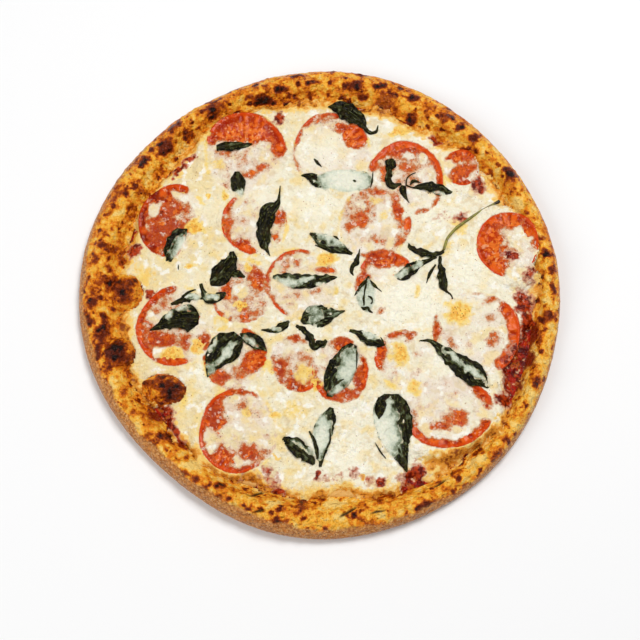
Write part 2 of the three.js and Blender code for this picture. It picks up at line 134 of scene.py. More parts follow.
LEAVES = (
    (1, (217, 149.5, 3), (226, 149, 4.8), (237, 148.3, 4.5), (246, 147, 2.8), (252.5, 145.7, 0.5)),
    (2, (378, 125.5, 0.6), (376, 132, 1.5), (371, 133.5, 2), (365, 128, 2.8), (359, 121, 6.5),
     (350, 114, 10.5), (341, 109, 8.5), (333, 107.5, 4), (328, 107, 0.3)),
    (3, (401, 184, 1), (396, 186, 2.5), (391, 186, 4), (388.7, 180, 3.4), (389, 171, 3.3),
     (391.5, 161, 4.2), (392, 159, 1)),
    (4, (406, 185.5, 0.8), (413, 188, 1), (421, 187, 4), (430, 187.5, 5.2), (440, 190.3, 5.2),
     (448, 192, 3.6), (452.5, 191.8, 0.3)),
    (4, (410, 185, 0.8), (413, 181.5, 2), (420, 182.8, 0.6)),
    (5, (403, 186, 2.5), (402.5, 190, 3.6), (404.5, 196, 2.4), (407, 200, 1), (409.3, 203.5, 0.3)),
    (5, (406, 186, 0.7), (407, 179, 0.7), (411, 175, 0.6), (415.5, 173, 0.5)),
    (6, (301, 176, 0.3), (308, 176.5, 4), (315, 180, 7), (322, 186, 3.5), (328, 191.3, 0.3)),
    (6, (314, 159, 0.5), (317, 162.5, 1.9), (321.5, 167.3, 0.5)),
    (7, (320, 180, 5), (332, 180, 10), (345, 181, 12), (358, 181, 10), (368, 181, 7), (373, 181, 2)),
    (8, (310, 233, 1), (320, 239, 6), (332, 245, 8), (343, 250, 5), (352.5, 254, 0.6)),
    (9, (237, 172.8, 3), (237.5, 179, 6.5), (239, 187, 7.5), (241, 193, 3.5), (241, 199, 0.4)),
    (10, (280.2, 186, 0.5), (279.5, 195, 1.2), (277.5, 203.5, 2.8), (273, 207.5, 6.2), (269.5, 211, 8),
     (266.5, 219, 8.2), (264, 229, 7.4), (264, 239, 6.4), (265, 246.3, 4.3), (267.5, 251.4, 1.7),
     (270, 256, 0.3)),
    (11, (232, 251.5, 2.5), (232.5, 258, 5), (229, 265, 8.5), (224, 271.5, 11), (219, 277.5, 9.5),
     (214, 283, 5.5), (211, 285.5, 1.5)),
    (11, (232, 272, 4), (239, 274.5, 3.5), (245, 277.5, 0.8)),
    (12, (200.5, 284, 1.5), (203, 291, 2.8), (207.5, 298, 5), (215, 299.5, 5), (222, 295.5, 3.5),
     (225.5, 292.5, 1)),
    (13, (150, 330.5, 0.5), (160, 326, 4.5), (171, 321, 9), (182, 318.5, 12), (192, 318.5, 12.5),
     (199, 319, 5)),
    (13, (171, 304.5, 1), (180, 301.5, 3.5), (190, 297.5, 4.5), (203, 299, 1)),
    (13, (182, 297, 0.8), (188, 293, 1.2), (196, 290, 0.6)),
    (14, (444, 251.5, 1.5), (432.6, 254.5, 3.2), (422.4, 252.4, 4.2), (415.3, 250.4, 3), (410, 246.3, 2.2),
     (408.5, 243.5, 0.5)),
    (15, (436.7, 257, 1.2), (424, 262, 2.5), (415, 266.5, 4.8), (407, 272.5, 6.2), (399, 276.5, 4),
     (394, 275.5, 0.6)),
    (16, (435.7, 264.7, 0.8), (429.6, 274, 1.5), (426.5, 283, 0.4)),
    (17, (440, 256, 1.5), (440.3, 266, 2.5), (442, 274, 4.5), (442.7, 281, 5), (444.5, 288, 3.5),
     (447, 292, 1.2), (450.5, 294.5, 1), (452.5, 299.5, 0.5)),
    (18, (169, 262, 3), (171, 252, 7), (175, 243, 8), (181, 234, 6), (187.5, 229.5, 0.5)),
    (19, (273, 277, 1.5), (283, 279, 5), (294, 281.5, 7.5), (305, 282, 7.5), (316, 281, 6), (327, 279, 4),
     (337, 277.5, 0.5)),
    (20, (207.5, 377.5, 0.5), (211, 369, 5.5), (217, 359, 11.5), (225, 349, 15), (233, 341, 12),
     (238, 335, 5)),
    (21, (240, 334, 0.5), (247, 337.5, 5.5), (254, 341.5, 7), (261, 346.5, 5), (266.8, 351.5, 0.5)),
    (22, (368.5, 276.5, 1), (367.5, 285, 5.5), (366.5, 294, 9), (366, 303, 8), (368, 312, 2)),
    (23, (419.5, 340.8, 0.5), (430, 341.5, 1.8), (438, 347, 4), (448, 356, 7), (459, 365.5, 10),
     (470, 373.5, 12), (480, 380.5, 9.5), (488, 388, 1.5)),
    (24, (359.7, 249.5, 0.5), (358, 257, 1.6), (356, 263, 3), (352.5, 267, 2.2), (352, 273, 1.4),
     (353.5, 276, 0.5)),
    (25, (354, 345, 4), (349, 354, 10), (344, 364, 13), (338.5, 374, 14), (333, 385, 10.5),
     (329.5, 397, 2.5)),
    (26, (349.5, 330.5, 1.5), (356, 332.3, 2.4), (363, 336, 5), (371, 340, 6.5), (379, 343.5, 4.5),
     (385, 345.5, 0.5)),
    (27, (261.5, 330, 0.8), (270, 330.3, 2), (277, 329, 3.8), (283, 326.5, 4.5), (289, 321, 0.8)),
    (28, (302, 323, 2), (308, 318, 8), (317, 316, 11.5), (326, 315.5, 9), (335, 313.5, 4.5),
     (345, 310.8, 0.5)),
    (29, (296, 325.5, 1.2), (302, 329, 3), (307, 334, 3.5), (311, 340, 3.8), (315, 346.5, 4),
     (321, 344.5, 3.8), (326.5, 340.5, 1.5)),
    (30, (283, 438, 1.5), (291, 443, 6.5), (300, 449.5, 7.5), (308, 456, 6.5), (314, 464.5, 1.5)),
    (31, (332, 408, 2), (329, 416, 6.5), (324, 427, 9), (321.5, 440, 8.5), (321, 452, 5), (320.5, 467, 1)),
    (32, (391, 394, 8), (391, 405, 16), (393, 418, 18), (395, 432, 16.5), (398, 446, 11.5),
     (402.5, 460, 5.5), (407, 472, 0.5)),
)
STROKES = (
    (7, (373, 171.5, 0.3), (372.3, 180, 0.9), (370.5, 188, 0.4)),
    (7, (352.8, 181, 0.8), (354.5, 181.5, 1.3), (356, 181.7, 0.6)),
    (8, (315, 245.3, 0.5), (327, 250, 0.9), (338, 252, 0.8), (352, 254.3, 1.4)),
    (8, (333.5, 236, 0.4), (336, 237.8, 1.2), (339, 240, 0.4)),
    (18, (165.8, 249, 0.8), (168.8, 257.5, 0.5)),
    (18, (178.3, 265, 0.3), (178.4, 268, 0.8), (178.5, 270, 0.3)),
    (19, (300, 286.5, 0.5), (309, 284, 2), (317, 280.5, 1.6), (325, 279.5, 0.8)),
    (22, (367, 279, 1), (361.5, 286, 1.8), (357.5, 291.5, 1.1), (354.5, 296, 0.4)),
    (22, (366.5, 281, 0.6), (365.4, 288, 1), (364.2, 294, 0.6), (363.6, 300, 1.1), (364, 306, 0.6)),
    (22, (370.2, 281, 0.5), (374.5, 286, 1.5), (377.5, 288.5, 0.7), (381.5, 292, 0.4)),
    (22, (368, 296.5, 0.4), (370.8, 298, 1.1), (372.3, 301.5, 0.5), (371.3, 304.5, 0.9)),
    (22, (361, 307.5, 0.5), (364.5, 309.2, 1.5), (367.5, 308, 0.9), (369.5, 311, 1.2), (372.5, 313.5, 0.4)),
    (25, (356.3, 347, 0.6), (356.8, 358, 0.8), (356.3, 369, 0.4)),
    (25, (344, 379.5, 0.4), (339, 382, 1.2), (334, 386.5, 0.5)),
    (26, (380.6, 337.5, 0.4), (382.5, 341, 0.8), (384, 345.5, 0.6)),
    (31, (309.4, 431, 0.8), (314, 441, 1.6), (316.5, 450, 1.8), (317.5, 459, 1.2)),
    (31, (330, 429, 0.5), (329.8, 441, 0.9), (325.5, 451, 0.9), (322, 463, 0.8)),
    (32, (375, 442.5, 0.3), (380, 451, 0.7), (386, 458.5, 0.3)),
    (32, (379.5, 397, 2), (380.5, 405, 5), (380, 412, 4.5), (379, 419, 0.5)),
)
# Cheese that has run over the leaves.
FILMS = (
    (346, 181, 31, 16, 1.5), (330, 235, 24, 11, 1, -25), (238, 196, 8, 7), (212, 297, 8, 4.5, 1, 15),
    (171, 317, 5.5, 4.5), (181, 309, 8, 4, 1, 10), (193, 297, 9, 4, 1, 10), (417, 265, 9, 4.5, 1, 30),
    (402, 274, 7, 5, 1, 30), (187, 255, 16, 26, 1.4, -10), (287, 282.5, 13, 6, 1, -5), (304, 280, 10, 3),
    (325, 285, 11, 4, 1, -15), (226, 353, 19, 5.5, 1, 55), (213, 346, 9, 2.6, 1, 70),
    (211, 370, 6, 8, 0.75), (251, 343, 9, 4, 1, -35), (367, 297, 15, 22), (452, 357, 17, 3.4, 1, -42),
    (471, 370.5, 15, 4.5, 1, -35), (484, 379, 8, 3, 1, -60), (349, 367, 12, 24, 1, -18),
    (337, 390, 6, 9, 1, -30), (371, 334, 13, 4.4, 1, -25), (317, 315.5, 15, 15, 0.62),
    (333, 314, 8, 6, 0.45), (277, 330, 9, 3.4, 0.7, -15), (299, 446, 13, 2.2, 1, -32),
    (321, 437, 9, 23, 1.3, -8), (304, 434, 12, 7, 1.3, -30), (379, 438, 21, 34, 1.4, -14),
    (387, 412, 6, 20, 1, -5), (438, 195, 9, 2.6, 1, -10),
)
# Tomato that shows. The strength is how bare it is.
EXPOSED = (
    (246, 131, 42, 15), (280, 147, 7, 12, 1, -15), (225, 151, 14, 5, 0.4), (236, 158, 18, 6, 0.3),
    (263, 167, 6, 4, 0.9, 10), (249, 175, 6, 4, 0.75), (228, 182, 4, 8, 0.5), (316, 121, 18, 5, 0.55, 10),
    (357, 136, 14, 13, 1, -30), (296, 170, 4, 5), (340, 128, 10, 6, 0.6), (400, 149, 28, 8, 0.88),
    (404, 163, 23, 10, 0.5), (384, 172, 6, 10, 0.5), (457, 158, 18, 5, 0.95, -10),
    (462, 172, 14, 6, 0.9, 30), (452, 182, 9, 4, 0.85, 20), (489, 245, 13, 27, 1, 8), (507, 222, 19, 7),
    (528, 232, 8, 11, 0.95, -30), (497, 268, 11, 8, 1, 30), (536, 236, 5, 9, 0.9), (520, 242, 9, 13, 0.4),
    (494, 300, 9, 4, 0.85, 20), (494, 340, 9, 7, 0.66), (434, 330, 4, 9, 0.6, -20),
    (488, 318, 9, 4, 0.5, 30), (451, 343, 7, 3, 0.5, -30), (454, 418, 13, 8, 0.62, -15),
    (443, 427, 11, 5, 0.66), (480, 396, 13, 4, 0.95, -45), (414, 426, 4, 11, 0.6),
    (214, 413, 11, 21, 0.76, 10), (224, 458, 10, 10, 0.95), (250, 452, 11, 9, 0.66),
    (236, 390, 25, 2, 0.75), (262, 455, 8, 9, 0.55), (245, 408, 14, 8, 0.36), (148, 335, 8, 14, 0.62),
    (162, 340, 17, 7, 0.8), (183, 341, 10, 11, 0.5), (176, 361, 14, 6, 0.95), (164, 232, 17, 24, 0.74, 10),
    (160, 195, 17, 8, 1, -35), (173, 208, 12, 10, 0.8), (178, 244, 8, 16, 0.5, 20),
    (245, 249, 13, 7, 0.98, -42), (226, 228, 3.5, 13, 0.8, -15), (281, 219, 5, 8, 0.7),
    (278, 226, 9, 16, 0.3), (286, 242, 15, 4, 0.62, -25), (297, 262, 3, 3, 0.7),
    (286, 263, 2.4, 10, 0.6, -5), (330, 270, 10, 3, 0.9), (316, 292, 7, 4, 0.36), (296, 300, 14, 9, 0.2),
    (229, 291, 5, 10, 0.9, 15), (257, 279, 8, 13, 0.8, 20), (533, 236, 7, 14, 0.9, -10),
    (243, 317, 23, 4, 0.5, 10), (398, 213, 4.5, 18, 0.85, 12), (375, 192, 17, 4, 0.62, -5),
    (363, 218, 5, 10, 0.74), (350, 226, 8, 6, 0.45), (386, 259, 23, 8), (362, 280, 4, 11, 0.95, -30),
    (376, 240, 10, 5, 0.62), (399, 242, 8, 7, 0.5), (379, 314, 5, 2.6, 0.85, 35),
    (343, 342, 12, 7, 0.78, 10), (361, 381, 6, 14, 0.8, 10), (346, 392, 13, 7, 0.78, -30),
    (327, 394, 7, 8, 0.85), (283, 371, 9, 17, 0.62, 38), (295, 384, 9, 6, 0.8, -20), (311, 374, 8, 9, 0.3),
    (294, 337, 11, 4, 0.72, -20), (381, 352, 5, 12, 0.98), (392, 332, 14, 5, 0.78),
    (412, 334, 3.4, 5, 0.66, -20), (255, 361, 12, 10, 0.98, 35), (222, 378, 8, 9, 0.88),
    (205, 340, 5, 10, 0.84, 10), (237, 372, 16, 10, 0.42), (360, 206, 26, 24, 0.32),
    (298, 372, 20, 20, 0.44), (245, 290, 28, 28, 0.3), (236, 360, 26, 26, 0.18), (168, 226, 26, 34, 0.45),
    (168, 330, 30, 34, 0.3), (300, 285, 32, 32, 0.1), (340, 372, 26, 30, 0.2), (404, 164, 32, 30, 0.25),
    (400, 360, 26, 26, 0.14), (505, 245, 20, 26, 0.4), (244, 428, 34, 36, 0.14), (380, 284, 10, 10, 0.1),
    (246, 160, 36, 18, 0.2), (250, 225, 30, 30, 0.18), (445, 405, 34, 32, 0.12), (474, 330, 38, 38, 0.1),
)
# Thick cheese lying on a slice.
ISLANDS = (
    (519, 242, 11, 12, 0.55, 10), (154, 211, 7, 8), (382, 215, 7, 9), (165, 318, 8, 6), (154, 353, 5, 4),
    (152, 316, 4, 4), (409, 154, 6, 4), (424, 159, 5, 5), (470, 180, 6, 4), (446, 169, 7, 4, 0.4),
    (530, 268, 13, 12, 1, 30), (240, 291, 8, 7, 0.5), (257, 155, 9, 6, 0.8, 20), (190, 255, 12, 19, 1, -10),
)
# Skin of a slice that shows as an arc: slice, from and to in degrees, width in pixels, how bare.
ARCS = (
    (1, 15, 168, 9, 1.5), (2, 140, 218, 2.2, 1), (2, 60, 140, 2.6, 0.95), (3, -28, 165, 6, 1.6),
    (3, -75, -28, 1.6, 0.7), (4, 35, 130, 3.5, 1.3), (4, -125, -30, 4, 1.2), (5, -12, 262, 5, 1.5),
    (6, -60, 50, 10, 1.3), (6, 50, 110, 1.2, 0.6), (6, 150, 195, 2, 0.7), (7, -152, -18, 7, 1.6),
    (7, 15, 62, 4, 1.3), (8, 95, 305, 4, 1.6), (8, 60, 95, 1.4, 0.8), (8, -60, -10, 1.6, 0.5),
    (9, 92, 292, 5, 1.5), (10, 62, 262, 6, 1.5), (11, 128, 238, 3, 1.1), (11, -30, 30, 1.6, 0.5),
    (12, 75, 250, 2.6, 1.1), (13, 195, 300, 1.6, 0.9), (13, 100, 175, 2, 0.6), (14, -20, 75, 6, 0.9),
    (14, 90, 150, 1.8, 0.6), (15, 25, 150, 5, 1.3), (16, 180, 290, 5, 1.2), (16, -60, 30, 5, 1),
    (17, -120, 0, 6, 0.9), (18, 140, 205, 5, 1), (18, 80, 120, 2.4, 0.9), (19, 5, 75, 6, 1.2),
    (19, 170, 235, 4, 1),
)
# Sauce that stains the cheese or lies bare, and cheese that has run over such sauce.
STAINS = (
    (523, 303, 11, 15, 0.8, 5), (529, 328, 10, 18, 1, 8), (524, 354, 11, 16, 1, 15),
    (513, 380, 12, 14, 0.95, 10), (503, 402, 12, 9, 0.9), (478, 186, 11, 11, 0.8), (528, 276, 8, 12, 0.6),
    (415, 473, 9, 12, 1, -25), (382, 481, 8, 4, 0.9, 20), (354, 472, 8, 7, 0.5), (330, 478, 14, 5, 0.4, 8),
    (267, 473, 6, 9, 0.55, -30), (279, 491, 8, 4, 1, 15), (172, 427, 5, 25, 1, 36), (154, 415, 7, 6, 0.9),
    (184, 444, 5, 5), (148, 294, 5, 6, 1, 30), (190, 159, 7, 4, 0.9, 30), (180, 169, 10, 3.4, 0.9, 55),
    (278, 119, 5, 10, 0.8), (440, 217, 11, 8, 0.28), (509, 257, 8, 4, 0.9, -25), (499, 250, 3, 4, 0.7),
    (436, 141, 5, 8, 1, 15), (134, 250, 8, 8, 0.8), (515, 258, 6, 3, 1, -25), (461, 217, 11, 7, 0.6, 20),
    (274, 482, 7, 7, 0.5), (316, 477, 3.5, 6, 0.8, -10), (368, 480, 8, 5, 0.42, 10), (402, 477, 6, 6, 0.5),
    (173, 178, 4, 4, 0.7), (386, 102, 12, 9, 0.4), (538, 240, 4, 3, 0.7),
)
RUNS = (
    (338, 491, 19, 10), (250, 479, 10, 9), (473, 164, 13, 13),
)
# Thick smooth cheese.
SMOOTH = (
    (408, 300, 38, 28, 0.9), (322, 152, 32, 22, 0.6), (268, 200, 28, 12, 0.6, -10),
    (312, 207, 26, 14, 0.75), (432, 212, 18, 15, 0.6), (472, 268, 20, 26, 0.7), (208, 206, 30, 22, 0.45),
    (192, 282, 26, 10, 0.45), (185, 305, 18, 8, 0.4), (345, 455, 24, 16, 0.6), (403, 440, 9, 22, 0.6),
    (442, 362, 34, 16, 0.6, 20), (312, 325, 16, 10, 0.5), (205, 365, 14, 22, 0.5), (345, 400, 14, 20, 0.4),
)
# Yellow browned patches of cheese, and cheese browned beside the rim.
GOLD = (
    (459, 314, 15, 15), (197, 228, 12, 9), (208, 195, 4, 3, 0.9), (226, 196, 4, 6, 0.8),
    (182, 193, 4, 3, 0.6), (190, 266, 4, 3, 0.8), (240, 305, 7, 5, 0.9), (248, 268, 6, 5, 0.8),
    (326, 258, 12, 9, 1.05), (171, 354, 12, 8), (400, 355, 11, 14, 0.8), (304, 373, 11, 13, 0.5),
    (376, 202, 9, 7, 0.45), (142, 276, 12, 14, 0.4), (413, 388, 8, 11, 0.7, 20), (275, 415, 9, 5, 0.7),
    (198, 347, 6, 9, 0.8), (384, 215, 9, 9, 0.4), (460, 226, 9, 14, 0.5), (217, 166, 12, 9, 0.4),
    (246, 413, 9, 9, 0.4), (315, 385, 7, 8, 0.8), (446, 248, 10, 12, 0.4), (400, 131, 16, 6, 0.9, 20),
    (292, 408, 14, 14, 0.35), (185, 400, 9, 14, 0.5),
)
BROWNED = (
    (268, 436, 4, 12, 0.75, -10), (277, 456, 9, 3, 0.7, -20), (361, 476, 5, 3, 0.9, 40),
    (148, 276, 12, 14, 0.5), (300, 105, 18, 13, 0.7), (276, 104, 12, 6, 0.35), (383, 108, 16, 14),
    (412, 115, 15, 9, 0.95, 20), (437, 138, 8, 10, 0.75), (460, 150, 12, 6, 0.6, 30),
    (490, 190, 8, 12, 0.5, 20), (330, 492, 44, 9, 0.55), (255, 490, 22, 9, 0.65, 20),
    (212, 478, 16, 8, 0.75, 20), (182, 456, 12, 8, 0.5, 30), (395, 488, 22, 9, 0.6, -10),
    (478, 438, 16, 9, 0.6, -30), (533, 300, 6, 22, 0.7), (192, 148, 12, 6, 0.7, 60),
    (178, 172, 5, 10, 0.6, 40), (150, 186, 12, 4, 0.7, -20), (137, 268, 6, 10, 0.4),
    (448, 458, 40, 12, 1.05, 22), (500, 428, 10, 12, 0.6), (484, 168, 14, 8, 0.6, -45),
    (425, 127, 14, 7, 0.6, -25), (355, 98, 30, 8, 0.7), (330, 98, 16, 8, 0.6), (205, 130, 8, 12, 0.7, -30),
)
# Browned and charred spots on the rim, 1 for black, and pale dough and cheese there.
CHAR = (
    (531, 265, 4, 4, 0.75), (528, 288, 5, 6, 0.7), (529, 303, 5, 5, 0.8), (544, 319, 5, 5, 0.9),
    (552, 287, 4, 6, 0.6), (113, 283, 7, 10, 0.5), (100, 286, 5, 8, 0.45), (93, 303, 5, 8, 0.75),
    (121, 252, 12, 9, 0.35), (104, 331, 8, 12, 0.7, -10), (94, 258, 4, 8, 0.5, 20), (119, 352, 14, 15),
    (164, 387, 26, 17, 0.26, 8), (172, 390, 12, 13, 0.85), (127, 291, 15, 15, 0.5), (127, 293, 8, 10, 0.8),
    (95, 302, 4, 5, 0.7), (106, 320, 4, 10, 0.7, 10), (102, 247, 5, 4, 0.85, -20), (108, 268, 4, 5, 0.6),
    (125, 193, 6, 4, 0.7), (145, 162, 8, 5, 0.75, 40), (166, 147, 10, 7, 0.8, 45),
    (177, 128, 10, 5, 0.75, 50), (192, 123, 4, 5, 0.6), (218, 109, 14, 7, 0.4, 25), (260, 98, 14, 4, 0.85),
    (282, 90, 8, 5, 0.6), (309, 95, 4, 4, 0.7), (314, 84, 8, 4, 0.5, 10), (298, 77, 9, 3, 0.7),
    (355, 84, 10, 6, 0.95, 5), (363, 95, 6, 4, 0.7), (384, 103, 15, 13, 0.55, 35), (382, 84, 8, 4, 0.8, 20),
    (414, 95, 12, 4, 0.9, 5), (412, 117, 10, 8, 0.6, 30), (437, 141, 6, 8, 0.55),
    (447, 120, 8, 5, 0.65, 20), (459, 128, 6, 4, 0.75, 40), (474, 139, 8, 5, 0.85, 45),
    (509, 174, 7, 8, 0.8), (490, 174, 6, 5, 0.6), (510, 206, 5, 4, 0.5), (546, 255, 6, 2, 0.8),
    (538, 281, 6, 6, 0.9), (552, 271, 5, 5, 0.6), (537, 297, 5, 5, 0.85), (548, 314, 5, 6, 0.6),
    (541, 290, 9, 10, 0.35), (540, 330, 6, 12, 0.4), (496, 453, 8, 7, 0.4), (508, 441, 5, 4, 0.45),
    (478, 452, 4, 4, 0.55), (457, 472, 6, 5, 0.5), (426, 507, 9, 5, 0.65, 15), (387, 498, 16, 9, 0.45),
    (404, 490, 8, 6, 0.4), (298, 506, 16, 9, 0.45), (360, 530, 7, 3, 0.75, 20), (278, 524, 12, 5, 0.55, 10),
    (320, 497, 5, 5, 0.55), (302, 498, 3, 4, 0.6), (166, 436, 8, 6, 0.75), (186, 457, 4, 5, 0.5),
    (231, 477, 6, 5, 0.6), (221, 486, 5, 5, 0.6), (215, 500, 9, 6, 0.75, 20), (204, 489, 6, 5, 0.7),
    (196, 479, 6, 4, 0.5), (228, 499, 6, 3, 0.6), (247, 511, 4, 3, 0.5), (105, 382, 5, 5, 0.75),
    (96, 350, 4, 10, 0.55), (100, 333, 5, 5, 0.6), (150, 371, 8, 5, 0.6, 30), (134, 245, 10, 9, 0.55),
    (160, 165, 9, 4, 0.4, 40), (130, 205, 6, 4, 0.4, 30), (88, 320, 4, 7, 0.5), (97, 222, 5, 5, 0.4),
    (155, 406, 10, 7, 0.5), (535, 380, 5, 4, 0.45), (528, 360, 5, 4, 0.4), (152, 442, 10, 9, 0.5),
    (436, 110, 24, 7, 0.3, -20), (250, 480, 6, 4, 0.5), (182, 474, 7, 5, 0.4),
)
PALE = (
    (530, 400, 8, 18, 0.6, 20), (516, 425, 9, 14, 0.6, 35), (548, 360, 6, 14, 0.5, 5),
    (498, 170, 12, 14, 1, -40), (258, 107, 14, 7), (180, 145, 12, 8, 1, 40), (165, 163, 16, 9, 1, 20),
    (150, 178, 10, 7, 1, 30), (196, 125, 5, 8), (225, 108, 10, 4, 1, 20), (118, 215, 10, 6, 1, 40),
    (112, 240, 8, 10), (350, 100, 14, 5), (408, 125, 12, 5, 1, -20), (470, 160, 14, 8, 1, -40),
    (490, 180, 12, 8, 1, -40), (515, 205, 8, 12, 1, 20), (545, 300, 5, 16), (535, 350, 6, 16, 1, 10),
    (525, 385, 8, 10, 1, 20), (470, 465, 14, 8, 1, 20), (440, 470, 14, 7, 1, 20), (330, 500, 20, 7),
    (270, 505, 12, 6), (190, 465, 10, 8, 1, -40), (160, 450, 8, 6, 1, -40), (135, 425, 8, 10, 1, -40),
    (112, 385, 7, 9), (380, 500, 16, 6),
)
# Open creases in the rim, sunk into it and darkened with painted shade.
CREASES = (
    (348, 512, 11, 1.6, 1, 35), (258, 492, 11, 1.6, 1, 22), (259, 512, 6, 1.5, 1, 10),
    (496, 433, 6, 1.6, 1, 50), (378, 512, 8, 1.3, 1, 15), (440, 483, 8, 1.3, 1, 30),
    (302, 471, 4, 1.2, 1, 80),
)

# ---- noise
#
# A field of noise is written as its amount times noise(x, y, z, the width of its bumps, its seed).

HASH_PRIMES = (374761393, 668265263, 1442695041, 974711)
HASH_MIXER = 1274126177
HASH_BITS = 0xFFFFFFFF
HASH_TOP = 0xFFFF


def hashed(ix, iy, iz, seed):
    """A value from 0 to 1 for each whole place, which looks random."""
    h = sum(value * prime for value, prime in zip((ix, iy, iz, seed), HASH_PRIMES)) & HASH_BITS
    h = ((h ^ (h >> 13)) * HASH_MIXER) & HASH_BITS
    return ((h ^ (h >> 16)) & HASH_TOP) / HASH_TOP


def noise(x, y, z, cell, seed):
    """Smooth noise from -1 to 1 whose bumps are about a cell wide."""
    place = np.broadcast_arrays(x / cell, y / cell, z / cell)
    whole = [np.floor(a).astype(np.int64) for a in place]
    part = [a - b for a, b in zip(place, whole)]
    part = [f * f * f * (f * (f * 6 - 15) + 10) for f in part]
    total = 0.0
    for corner in np.ndindex(2, 2, 2):
        weight = math.prod(f if far else 1 - f for f, far in zip(part, corner))
        total = total + weight * hashed(*(i + far for i, far in zip(whole, corner)), seed)
    return 2 * total - 1


def rough(x, y, z, cell, seed, octaves=3):
    """Noise on several scales, each half as wide and half as high as the one before."""
    total = 0.0
    for octave in range(octaves):
        total = total + noise(x, y, z, cell / 2**octave, seed + octave) / 2**octave
    return total / (2 - 2 ** (1 - octaves))


LEAST_GRAIN = 0.25  # of its cell, as a radius
GRAIN_RANGE = 0.35


def grains(x, y, cell, seed, sparse):
    """Round grains, one to a cell: 1 in the middle of one, 0 outside. sparse is the share left out."""
    best = np.zeros(np.broadcast(x, y).shape)
    ix, iy = (np.floor(a / cell).astype(np.int64) for a in (x, y))
    for dx, dy in np.ndindex(3, 3):
        jx, jy = ix + dx - 1, iy + dy - 1
        along, across, width, kept = (hashed(jx, jy, jx * 0 + k, seed) for k in range(4))
        away = np.hypot(x - (jx + along) * cell, y - (jy + across) * cell)
        share = 1 - away / (cell * (LEAST_GRAIN + GRAIN_RANGE * width))
        best = np.maximum(best, np.clip(share, 0, 1) * (kept >= sparse))
    return best


def smooth(low, high, value):
    share = np.clip((value - low) / (high - low), 0, 1)
    return share * share * (3 - 2 * share)


def blend(a, b, share):
    return a * (1 - share) + b * share


def hill(distance, radius):
    """1 in the middle, falling to 0 at the radius."""
    return (1 + np.cos(np.minimum(np.abs(distance) / radius, 1) * math.pi)) / 2


# ---- forms of the dough and the layers


def waves(entries, angle):
    return sum(size * np.cos(count * angle - math.radians(turn)) for count, size, turn in entries)


def polar(x, y):
    dx, dy = x - OUTLINE_CENTRE[0], y - OUTLINE_CENTRE[1]
    return np.arctan2(dy, dx), np.hypot(dx, dy)


def from_polar(angle, radius):
    return OUTLINE_CENTRE[0] + radius * np.cos(angle), OUTLINE_CENTRE[1] + radius * np.sin(angle)


def turned(dx, dy, degrees):
    """How far a place lies along a direction and across it."""
    turn = math.radians(degrees)
    return dx * math.cos(turn) + dy * math.sin(turn), -dx * math.sin(turn) + dy * math.cos(turn)


def outline_radius(angle):
    return MEAN_RADIUS + waves(OUTLINE_WAVES, angle)


def rim_width(angle):
    widths = np.array(RIM_WIDTHS, float)
    place = np.mod(angle / TURN, 1.0) * len(widths)
    before = np.floor(place).astype(int) % len(widths)
    share = (1 - np.cos((place - np.floor(place)) * math.pi)) / 2
    return blend(widths[before], widths[(before + 1) % len(widths)], share)


def foot_radius(angle):
    return outline_radius(angle) - rim_width(angle)


def rim_height(angle):
    return RIM_HEIGHT + waves(RIM_WAVES, angle)


def belly_height(angle):
    return RIM_BELLY - BELLY_TILT * np.cos(angle - BELLY_LOW_SIDE)


def bubble_height(x, y):
    return sum(h * np.sqrt(hill(np.hypot(x - bx, y - by), r)) for bx, by, r, h in BUBBLES)


def dome_height(x, y):
    """The top of the blown bubbles, or a very low level outside them."""
    best = np.full(np.broadcast(x, y).shape, NOWHERE)
    for cx, cy, length, width, turn, top in DOMES:
        along, across = turned(x - cx, y - cy, turn)
        inside = 1 - (along / length) ** 2 - (across / width) ** 2
        height = DOME_FLOOR + (top - DOME_FLOOR) * np.sqrt(np.clip(inside, 0, 1))
        best = np.where(inside > 0, np.maximum(best, height), best)
    return best


def soft_max(a, b):
    """The higher of two surfaces, with the corner between them rounded off."""
    share = np.clip(0.5 + 0.5 * (a - b) / CORNER_WIDTH, 0, 1)
    return blend(b, a, share) + CORNER_WIDTH * share * (1 - share)


def dough_top(x, y):
    """The upper face of the dough, up to its widest line."""
    angle, radius = polar(x, y)
    outer, width, height = outline_radius(angle), rim_width(angle), rim_height(angle)
    crest, foot = outer - width * RIM_CREST, outer - width
    drop = hill(np.clip((crest - radius) / (crest - foot), 0, 1), 1)
    shoulder = np.clip((radius - crest) / (outer - crest), 0, 1)
    belly = belly_height(angle)
    outside = belly + (height - belly) * np.sqrt(1 - shoulder**2)
    top = np.where(radius > crest, outside, BASE_TOP + (height - BASE_TOP) * drop)
    top = top + np.where(radius > crest, 1, drop) * bubble_height(x, y)
    return soft_max(dome_height(x, y), top)


def sauce_edge(angle):
    return foot_radius(angle) + SAUCE_REACH + waves(SAUCE_WAVES, angle)


def sauce_top(x, y):
    return SAUCE_TOP + 0.45 * rough(x, y, 0, 7, 11) + 0.9 * grains(x, y, 3.6, 12, 0.35)


def angle_apart(angle, other):
    return np.mod(angle - other + math.pi, TURN) - math.pi


def bay_depth(angle):
    """How far the cheese draws back from its edge and leaves sauce bare."""
    depth = 0.0
    for middle, half_width, reach in CHEESE_BAYS:
        depth = depth + reach * hill(angle_apart(angle, math.radians(middle)), math.radians(half_width))
    return depth


def cheese_edge(angle):
    return foot_radius(angle) + CHEESE_REACH + waves(CHEESE_WAVES, angle) - bay_depth(angle)


def cheese_swell(x, y):
    return 0.35 * np.sin(x / 15 + 1.3) * np.sin(y / 17 + 0.4) + 0.25 * np.sin((x + y) / 11 + 2)


# ---- patches placed by the photo

WARP_CELLS = (4.2, 1.9)
WARP_SEED = 50
FADE_START = -0.45  # where a patch with a fade in mm is full and where it ends, as shares of that fade
FADE_END = 0.55


